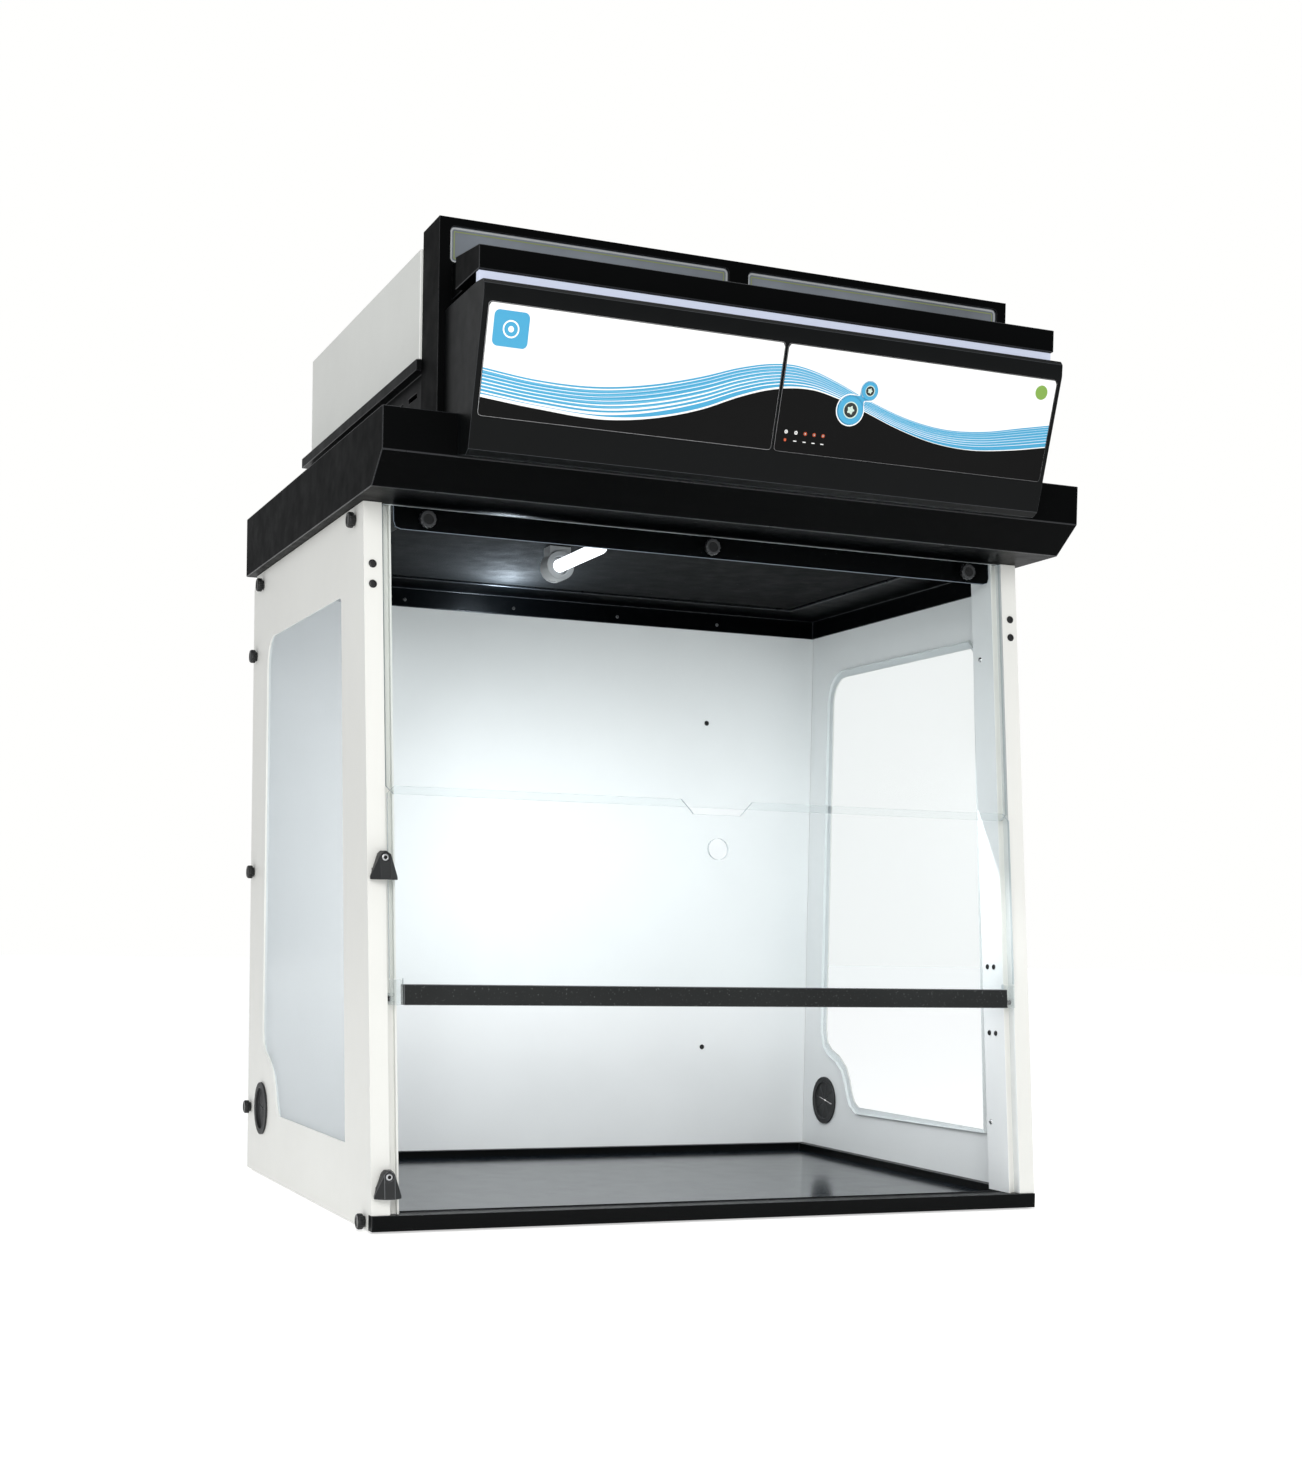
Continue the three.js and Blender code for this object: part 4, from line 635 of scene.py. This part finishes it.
# Lamp light: what the tube throws down, two soft washes for the light that the
# white walls pass on, and a glow on the ceiling and the mat beside the holder.
lamp_stand = panel_light("lamp_light", (-0.121, -0.10, 0.726), (-0.121, -0.10, 0.0), 0.14,
                         1.1, (0.93, 0.96, 1.0), 0.016)
lamp_stand.rotation_euler = (0.0, 0.0, math.pi / 2)
lamp_stand.visible_camera = False
wash_tint = (0.97, 0.985, 1.0)
for wash in (
    panel_light("wall_wash", (0.02, -0.13, 0.42), (0.1, 0.33, 0.1), 0.7, 1.2, wash_tint, 0.3),
    panel_light("side_wash", (-0.15, -0.02, 0.45), (0.4, 0.2, 0.1), 0.3, 0.5, wash_tint),
):
    wash.visible_camera = False
    wash.visible_glossy = False
ceiling_glow = bpy.data.lights.new("ceiling_glow", "POINT")
ceiling_glow.shadow_soft_size = 0.02
ceiling_glow.energy = 1.7
ceiling_glow.color = (0.76, 0.88, 1.0)
glow_stand = bpy.data.objects.new("ceiling_glow", ceiling_glow)
bpy.context.scene.collection.objects.link(glow_stand)
glow_stand.location = (-0.092, 0.262, 0.737)
glow_stand.visible_camera = False
lit_by_glow = bpy.data.collections.new("lit_by_glow")
lit_by_glow.objects.link(cap)
lit_by_glow.objects.link(mat)
glow_stand.light_linking.receiver_collection = lit_by_glow

# ---------------------------------------------------------------------------
# Ventilation module: black body with side vents, deck, and behind it the
# white filter casing; the fan, motor and cartridge sit inside.
module_coat = powder("module_black", (0.003, 0.0034, 0.0036), 0.4, shine=0.06)
module = eased("module_body", "vent_body", 0.0007, [module_coat, header_edge_highlight])
# The inlet's rounded edges take that grey as a painted highlight.
inlet = eased("mains_inlet", "power_inlet", 0.0004, [plug_nylon, highlight_and_screw_grey])
casing_coat = powder("casing_white", (0.74, 0.75, 0.72), 0.42, grain=700.0, depth=0.00003,
                     mottle=0.03)
# The casing's rounded edges take the lighter edge white, a painted highlight.
casing = eased("casing_lid", "filter_casing", 0.001, [casing_coat, panel_edge_highlight])
cartridge_coat = powder("cartridge_board", (0.55, 0.53, 0.47), 0.8, grain=500.0, depth=0.0001,
                        mottle=0.1)
cartridge = eased("filter_cartridge", "main_filter", 0.001, [cartridge_coat, cartridge_coat])
fan_nylon = powder("fan_nylon", (0.03, 0.032, 0.034), 0.5, grain=1200.0, shine=0.4)
duct_ring = eased("fan_ring", "fan_housing", 0.0005, [fan_nylon, fan_nylon])
motor_coat = powder("motor_enamel", (0.13, 0.135, 0.14), 0.35, metal=0.7)
motor = eased("fan_motor_can", "fan_motor", 0.0008, [motor_coat, motor_coat])
blades = eased("fan_blades", "fan_impeller", 0.0003, [fan_nylon, fan_nylon], "fan")

# Tall frame: folded black front with two slots; grey panes sit behind them.
frame_front = eased("frame_front", "tall_frame", 0.0008, [header_coat, header_edge_highlight])
# The slate panes' slow cloud of lighter and darker patches stands in for light and reflections on
# the glass: a painted reflection.
slate_painted_reflection = powder("slate_pane_painted_reflection", (0.17, 0.19, 0.215), 0.2, grain=300.0,
                     depth=0.000005, mottle=0.3, shine=0.5)
for side in ("left", "right"):
    view_pane = eased(f"slate_view_{side}", f"frame_window_{side}", 0.0003,
                      [slate_painted_reflection, slate_painted_reflection])


def laid(name, patches, coats, body="hood", toward=FRONT):
    """Thin printed layers: each patch is (grid of points, coat, closed).

    The patches are joined into one piece whose faces all look toward.
    """
    verts, quads, index = [], [], []
    start = 0
    for points, coat, closed in patches:
        n, m = points.shape[:2]
        i, j = np.meshgrid(np.arange(n if closed else n - 1), np.arange(m - 1), indexing="ij")
        at = lambda a, b: start + (a % n) * m + b
        quad = np.stack([at(i, j), at(i + 1, j), at(i + 1, j + 1), at(i, j + 1)], axis=-1)
        quad = quad.reshape(-1, 4)
        flat = points.reshape(-1, 3)
        first = flat[quad - start]
        turn = np.cross(first[:, 1] - first[:, 0], first[:, 3] - first[:, 0]).sum(axis=0) @ toward
        quads.append(quad if turn > 0 else quad[:, ::-1])
        verts.append(flat)
        index.append(np.full(len(quad), coat, dtype=np.int32))
        start += n * m
    mesh = bpy.data.meshes.new(name)
    mesh.from_pydata(np.concatenate(verts).tolist(), [], np.concatenate(quads).tolist())
    for coat in coats:
        mesh.materials.append(coat)
    mesh.polygons.foreach_set("material_index", np.concatenate(index))
    mesh.shade_smooth()
    piece = bpy.data.objects.new(name, mesh)
    bpy.context.scene.collection.objects.link(piece)
    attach(piece, body)
    return piece


def outline(half_x, half_z, corner, steps=6):
    """Corner arcs of a rounded rectangle about its middle, as two arrays across and up."""
    angle = np.concatenate([np.linspace(0, math.pi / 2, steps) + k * math.pi / 2 for k in range(4)])
    sx = np.repeat([1, -1, -1, 1], steps) * (half_x - corner)
    sz = np.repeat([1, 1, -1, -1], steps) * (half_z - corner)
    return sx + corner * np.cos(angle), sz + corner * np.sin(angle)


# Trim lines printed round each grey pane: a light rim and a thin olive line.
rim_grey = powder("pane_rim_grey", (0.46, 0.48, 0.49), 0.3, depth=0.000004, mottle=0.04)
rim_olive = powder("pane_line_olive", (0.22, 0.26, 0.10), 0.3, depth=0.000004, mottle=0.04)
PANE_HALF_X, PANE_HALF_Z, PANE_CORNER = 157.6, 18.2, 5.0
PANE_X, PANE_Y, PANE_Z = 169.875, -233.9, 1022.75
trims = []
for sign in (-1.0, 1.0):
    for outer, inner, coat in ((PANE_HALF_X, 155.6, 0), (153.8, 152.6, 1)):
        ring = []
        for half in (outer, inner):
            ox, oz = outline(half, half - PANE_HALF_X + PANE_HALF_Z,
                             PANE_CORNER + half - PANE_HALF_X)
            edge = [sign * PANE_X + ox, np.full_like(ox, PANE_Y), PANE_Z + oz]
            ring.append(np.stack(edge, axis=-1) / 1000.0)
        trims.append((np.stack(ring, axis=1), coat, True))
pane_trim = laid("pane_trim_lines", trims, [rim_grey, rim_olive])

# Rear fastenings: button-head screws that hold the casing, the body, the
# header and the flanges of the side panels, and a blank plate by the inlet.
BACKWARD = (0.0, 1.0, 0.0)
CASING_BACK, BODY_BACK, HOOD_BACK, CASING_TOP = 0.30625, 0.333, 0.368, 1.0325
rear_seats = [((x, CASING_BACK, z), BACKWARD)
              for x in (-0.33, -0.11, 0.11, 0.33) for z in (0.928, 1.018)]
rear_seats += [((x, BODY_BACK, 0.853), BACKWARD) for x in (-0.318, -0.159, 0.0, 0.159, 0.318)]
rear_seats += [((x, HOOD_BACK, z), BACKWARD)
               for x in (-0.391, 0.391) for z in (0.06, 0.22, 0.38, 0.54, 0.7)]
rear_seats += [((x, HOOD_BACK, 0.801), BACKWARD) for x in (-0.38, -0.19, 0.0, 0.19, 0.38)]
rear_screws = pan_heads("rear_screws", 1.2, rear_seats, screw_steel)
lid_seats = [((x, y, CASING_TOP), (0.0, 0.0, 1.0))
             for x in (-0.33, 0.33) for y in (-0.165, 0.064, 0.293)]
lid_screws = pan_heads("lid_screws", 1.2, lid_seats, screw_steel)
plate_metal = powder("rating_plate_metal", (0.52, 0.53, 0.54), 0.35, metal=0.9, mottle=0.04)
PLATE_X, PLATE_Z = -180.0, 880.0
FILL = np.array([1.0, 0.5, 0.001])
plate_lines = []
for half_x, half_z, depth, coat in ((36.0, 14.0, 333.3, 1), (35.0, 13.0, 333.5, 0)):
    ox, oz = outline(half_x, half_z, 2.5)
    plate_x = PLATE_X + ox[:, None] * FILL
    plate_z = PLATE_Z + oz[:, None] * FILL
    grid = np.stack([plate_x, np.full_like(plate_x, depth), plate_z], axis=-1)
    plate_lines.append((grid / 1000.0, coat, True))
for height, reach in ((886.0, 28.0), (880.0, 20.0), (874.0, 24.0)):
    bar_x, bar_z = np.meshgrid([PLATE_X - reach, PLATE_X + reach], [height - 0.5, height + 0.5],
                               indexing="ij")
    grid = np.stack([bar_x, np.full_like(bar_x, 333.7), bar_z], axis=-1)
    plate_lines.append((grid / 1000.0, 1, False))
rating_plate = laid("rating_plate", plate_lines, [plate_metal, socket_shade_and_print_dark],
                    toward=np.array(BACKWARD))

# Cornice and light strip: folded black canopy over a lit diffuser.
cornice_fold = eased("cornice_fold", "cornice", 0.0008, [header_coat, header_edge_highlight])
strip_glow = glowing("strip_diffuser", (0.62, 0.68, 0.84), 0.42, (0.42, 0.45, 0.55))
strip = eased("strip_diffuser", "light_strip", 0.0006, [strip_glow, strip_glow])

# ---------------------------------------------------------------------------
# Control head: inclined black fascia that carries two printed panels, the
# keys and the board behind them.
fascia_coat = powder("fascia_satin", (0.0035, 0.004, 0.0042), 0.36, grain=1000.0, shine=0.09)
# The fascia's rounded edges are painted lighter as a highlight.
fascia_edge_highlight = powder("fascia_edge_highlight", (0.03, 0.033, 0.037), 0.32, shine=0.3)
fascia = eased("control_fascia", "control_head", 0.0012, [fascia_coat, fascia_edge_highlight])
board_coat = powder("board_resist", (0.02, 0.11, 0.05), 0.35, grain=260.0, depth=0.00008,
                    mottle=0.3)
board = eased("control_board_card", "control_board", 0.0002, [board_coat, board_coat])

print_black = powder("print_black", (0.006, 0.006, 0.006), 0.22, depth=0.000004, shine=0.05)
# Mid grey on the rounded edges of the label cards: a painted highlight.
label_edge_highlight_grey = powder("label_edge_highlight_grey", (0.42, 0.42, 0.43), 0.3, depth=0.00001)


def ink(name, colour, rough=0.2, mottle=0.03):
    """Glossy screen-printing ink: a very fine grain and little change of colour."""
    return powder(name, colour, rough, grain=1500.0, mottle=mottle, shine=0.4)


print_white = ink("print_white", (0.90, 0.90, 0.89), mottle=0.008)
print_blue = ink("print_blue", (0.055, 0.345, 0.57))
print_pale = ink("print_pale_blue", (0.13, 0.44, 0.65))
print_green = ink("print_green", (0.20, 0.36, 0.06), 0.25)
print_red = ink("print_red", (0.55, 0.09, 0.03), 0.25)
for side in ("left", "right"):
    card = eased(f"label_card_{side}", f"label_panel_{side}", 0.0003, [print_black, label_edge_highlight_grey])

FACE_RISE, FACE_RUN = 136.0, 42.0
FACE_SLOPE = FACE_RUN / FACE_RISE
FACE_OUT = np.array([0.0, -FACE_RISE, -FACE_RUN]) / math.hypot(FACE_RISE, FACE_RUN)
FACE_SQUASH = math.cos(math.atan(FACE_SLOPE))
FACE_Y, FACE_Z = -366.25, 930.0


def on_face(x, z, lift):
    """Points in metres on the inclined fascia from millimetres across and up.

    The depth falls by the slope times the drop from the top of the fascia; lift raises
    the points off the surface.
    """
    x, z = np.broadcast_arrays(np.asarray(x, float), np.asarray(z, float))
    y = FACE_Y + (FACE_Z - z) * FACE_SLOPE
    return (np.stack([x, y, z], axis=-1) + FACE_OUT * lift) / 1000.0


def flow(x, stations):
    """Smooth line through stations (x, z), as one cubic piece between each two.

    The slope at a station is the mean of the slopes on both its sides.
    """
    known = np.asarray(stations, float)
    slope = np.gradient(known[:, 1], known[:, 0])
    k = np.clip(np.searchsorted(known[:, 0], x) - 1, 0, len(known) - 2)
    x0, x1, z0, z1 = known[k, 0], known[k + 1, 0], known[k, 1], known[k + 1, 1]
    t = np.clip((x - x0) / (x1 - x0), 0, 1)
    h = x1 - x0
    return ((2 * t**3 - 3 * t**2 + 1) * z0 + (t**3 - 2 * t**2 + t) * h * slope[k]
            + (3 * t**2 - 2 * t**3) * z1 + (t**3 - t**2) * h * slope[k + 1])


WAVE_TOP = [(-330, 870), (-270, 864.5), (-207, 865), (-150, 873), (-92, 887.5), (-51, 900.5),
            (-15, 908), (8, 909.5), (32, 906.5), (60, 899), (105, 884), (149, 872.5),
            (197, 866.5), (245, 869), (292, 877.5), (330, 884.5)]
WAVE_LOW = [(-330, 843), (-267, 838), (-188, 835.8), (-135, 843.5), (-88, 856.5), (-47, 873),
            (-19, 882), (12, 887.5), (35, 888), (60, 884), (99, 873.4), (139, 861.5),
            (185, 851.8), (233, 849), (281, 853.5), (330, 861.5)]
WHITE_STRANDS = [(0.06, 0.095), (0.19, 0.205), (0.30, 0.32), (0.42, 0.45), (0.54, 0.58),
                 (0.66, 0.71), (0.78, 0.84), (0.91, 1.0)]
PALE_STRANDS = [(0.13, 0.16), (0.23, 0.27), (0.36, 0.39), (0.47, 0.51), (0.60, 0.63)]
WHITE, BLUE, PALE, GREEN, RED = range(5)
BAND_LIFT, GROUND_LIFT, PALE_LIFT, WHITE_LIFT = 1.36, 1.37, 1.40, 1.43
CARD_TOP, CARD_CORNER = 929.1, 3.4
artwork = []
for left, right in ((-326.6, -4.9), (-0.1, 326.6)):
    across = np.linspace(left, right, 161)
    near = np.minimum(np.minimum(across - left, right - across), CARD_CORNER)
    crown = CARD_TOP - (CARD_CORNER - np.sqrt(CARD_CORNER**2 - (CARD_CORNER - near) ** 2))
    top = flow(across, WAVE_TOP)
    low = flow(across, WAVE_LOW)
    rise = np.linspace(0, 1, 5)
    ground = top[:, None] + (crown - top)[:, None] * rise
    band = low[:, None] + (top - low)[:, None] * rise
    artwork.append((on_face(across[:, None], ground, GROUND_LIFT), WHITE, False))
    artwork.append((on_face(across[:, None], band, BAND_LIFT), BLUE, False))
    drift = 0.025 * np.sin(across / 61.0)
    for number, (a, b) in enumerate(WHITE_STRANDS):
        swell = (1.1 - 0.75 * (across + 330) / 660) * (1 + 0.3 * np.sin(across / 47.0 + number))
        if number == len(WHITE_STRANDS) - 1:
            fa = 1 - (b - a) * np.clip(swell, 0.35, 1.2)
            fb = np.ones_like(fa)
        else:
            fa = np.clip(a + drift * (0 < number), 0, 1)
            fb = np.clip(fa + (b - a) * swell, 0, 1)
        pair = np.stack([top + (low - top) * fa, top + (low - top) * fb], axis=-1)
        artwork.append((on_face(across[:, None], pair, WHITE_LIFT), WHITE, False))
    for a, b in PALE_STRANDS:
        fa = a - drift * 0.6
        pair = np.stack([top + (low - top) * fa, top + (low - top) * (fa + b - a)], axis=-1)
        artwork.append((on_face(across[:, None], pair, PALE_LIFT), PALE, False))
wave_print = laid("wave_print", artwork, [print_white, print_blue, print_pale])


def disc(x, z, inner, outer, lift, around=40):
    """A ring between two radii in millimetres about (x, z) of the fascia."""
    angle = np.arange(around) * 2 * math.pi / around
    reach = np.array([inner, outer])
    up = z + np.sin(angle)[:, None] * reach * FACE_SQUASH
    return on_face(x + np.cos(angle)[:, None] * reach, up, lift)


def tile(x, z, half_x, half_z, corner, lift):
    """A filled rounded rectangle: rows shrink from the outline to the middle."""
    ox, oz = outline(half_x, half_z, corner)
    return on_face(x + ox[:, None] * FILL, z + oz[:, None] * FILL, lift)


# Printed signs: a plain square badge with a ring, the green ready mark, and a
# row of small state marks, all screen printed on the panels.
BADGE_X, BADGE_Z = -302.0, 907.0
MARK_LIFT = 1.42
marks = [(tile(BADGE_X, BADGE_Z, 18.5, 16.5, 5.5, 1.44), BLUE, True),
         (disc(BADGE_X, BADGE_Z, 7.0, 8.6, 1.5), WHITE, True),
         (disc(BADGE_X, BADGE_Z, 0.01, 3.0, 1.5), WHITE, True),
         (disc(309.6, 915.6, 0.01, 7.6, 1.46), GREEN, True)]
for x, coat in ((10.5, WHITE), (22.0, WHITE), (33.0, RED), (43.5, RED), (54.0, RED)):
    marks.append((disc(x, 845.2, 1.1, 1.9, MARK_LIFT, 20), coat, True))
    marks.append((disc(x, 845.2, 0.01, 0.6, MARK_LIFT, 12), WHITE, True))
marks.append((disc(10.5, 837.2, 0.01, 1.5, MARK_LIFT, 20), RED, True))
for x in (22.0, 33.0, 43.5, 54.0):
    marks.append((tile(x, 837.0, 1.9, 0.45, 0.4, MARK_LIFT), WHITE, True))
sign_inks = [print_white, print_blue, print_pale, print_green, print_red]
signs = laid("printed_signs", marks, sign_inks)

# Key surround: a blue printed link between the two keys with a white border,
# printed round the keys so that they can sink past it.
LARGE_X, LARGE_Z, LARGE_RING = 80.9, 873.7, 15.5
SMALL_X, SMALL_Z, SMALL_RING = 100.4, 894.5, 10.2
link = []
for grow, lift, coat in ((1.2, 1.46, WHITE), (0.0, 1.52, BLUE)):
    start = np.array([LARGE_X, LARGE_Z / FACE_SQUASH])
    stop = np.array([SMALL_X, SMALL_Z / FACE_SQUASH])
    span = np.linalg.norm(stop - start)
    run = (stop - start) / span
    along = np.linspace(0.0, 1.0, 17)[:, None]
    neck = 8.0 * (1 - along) + 6.0 * along - 3.0 * np.sin(math.pi * along) + grow
    aside = neck * np.linspace(-1.0, 1.0, 9)[None, :]
    leave = np.sqrt(15.1**2 - aside**2)
    arrive = span - np.sqrt(9.9**2 - aside**2)
    down = leave + (arrive - leave) * along
    grid_x = start[0] + run[0] * down - run[1] * aside
    grid_z = (start[1] + run[1] * down + run[0] * aside) * FACE_SQUASH
    link.append((on_face(grid_x, grid_z, lift), coat, False))
    link.append((disc(LARGE_X, LARGE_Z, 14.95, LARGE_RING + grow, lift), coat, True))
    link.append((disc(SMALL_X, SMALL_Z, 9.75, SMALL_RING + grow, lift), coat, True))
key_link = laid("key_link_print", link, [print_white, print_blue])

# Keys: two domed push keys with a blue ring and a dark pictogram disc.
key_dark = powder("key_dark", (0.015, 0.02, 0.02), 0.25, shine=0.4)
key_pale = powder("key_pale", (0.55, 0.68, 0.60), 0.3, mottle=0.05)
for size, x, z, r in (("large", LARGE_X, LARGE_Z, 14.6), ("small", SMALL_X, SMALL_Z, 9.4)):
    seat = on_face(x, z, 0.0)
    m = r / 1000.0
    rows = [(0.0, -0.0012), (m, -0.0012), (m, 0.0024), (m * 0.97, 0.0028), (m * 0.90, 0.0030),
            (m * 0.60, 0.0029), (m * 0.52, 0.0027), (m * 0.40, 0.0026), (m * 0.22, 0.0026),
            (m * 0.13, 0.0026), (0.0, 0.0026)]
    key = turned(f"push_key_{size}", rows, [(seat, FACE_OUT)],
                 [print_blue, key_dark, key_pale, print_white], f"{size}_key", around=48,
                 coat_rows=[0, 0, 0, 0, 0, 2, 1, 1, 2, 1])
    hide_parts(f"key_{size}")
    sweep = np.arange(96) * 2 * math.pi / 96
    petal = r * 0.30 * (0.25 + 0.75 * np.abs(np.cos(2.5 * sweep)))
    reach = petal[:, None] * np.array([0.001, 0.5, 1.0])
    lobes = on_face(x + np.cos(sweep)[:, None] * reach, z + np.sin(sweep)[:, None] * reach, 2.72)
    glyph = laid(f"key_glyph_{size}", [(lobes, 0, True)], [key_pale], f"{size}_key")
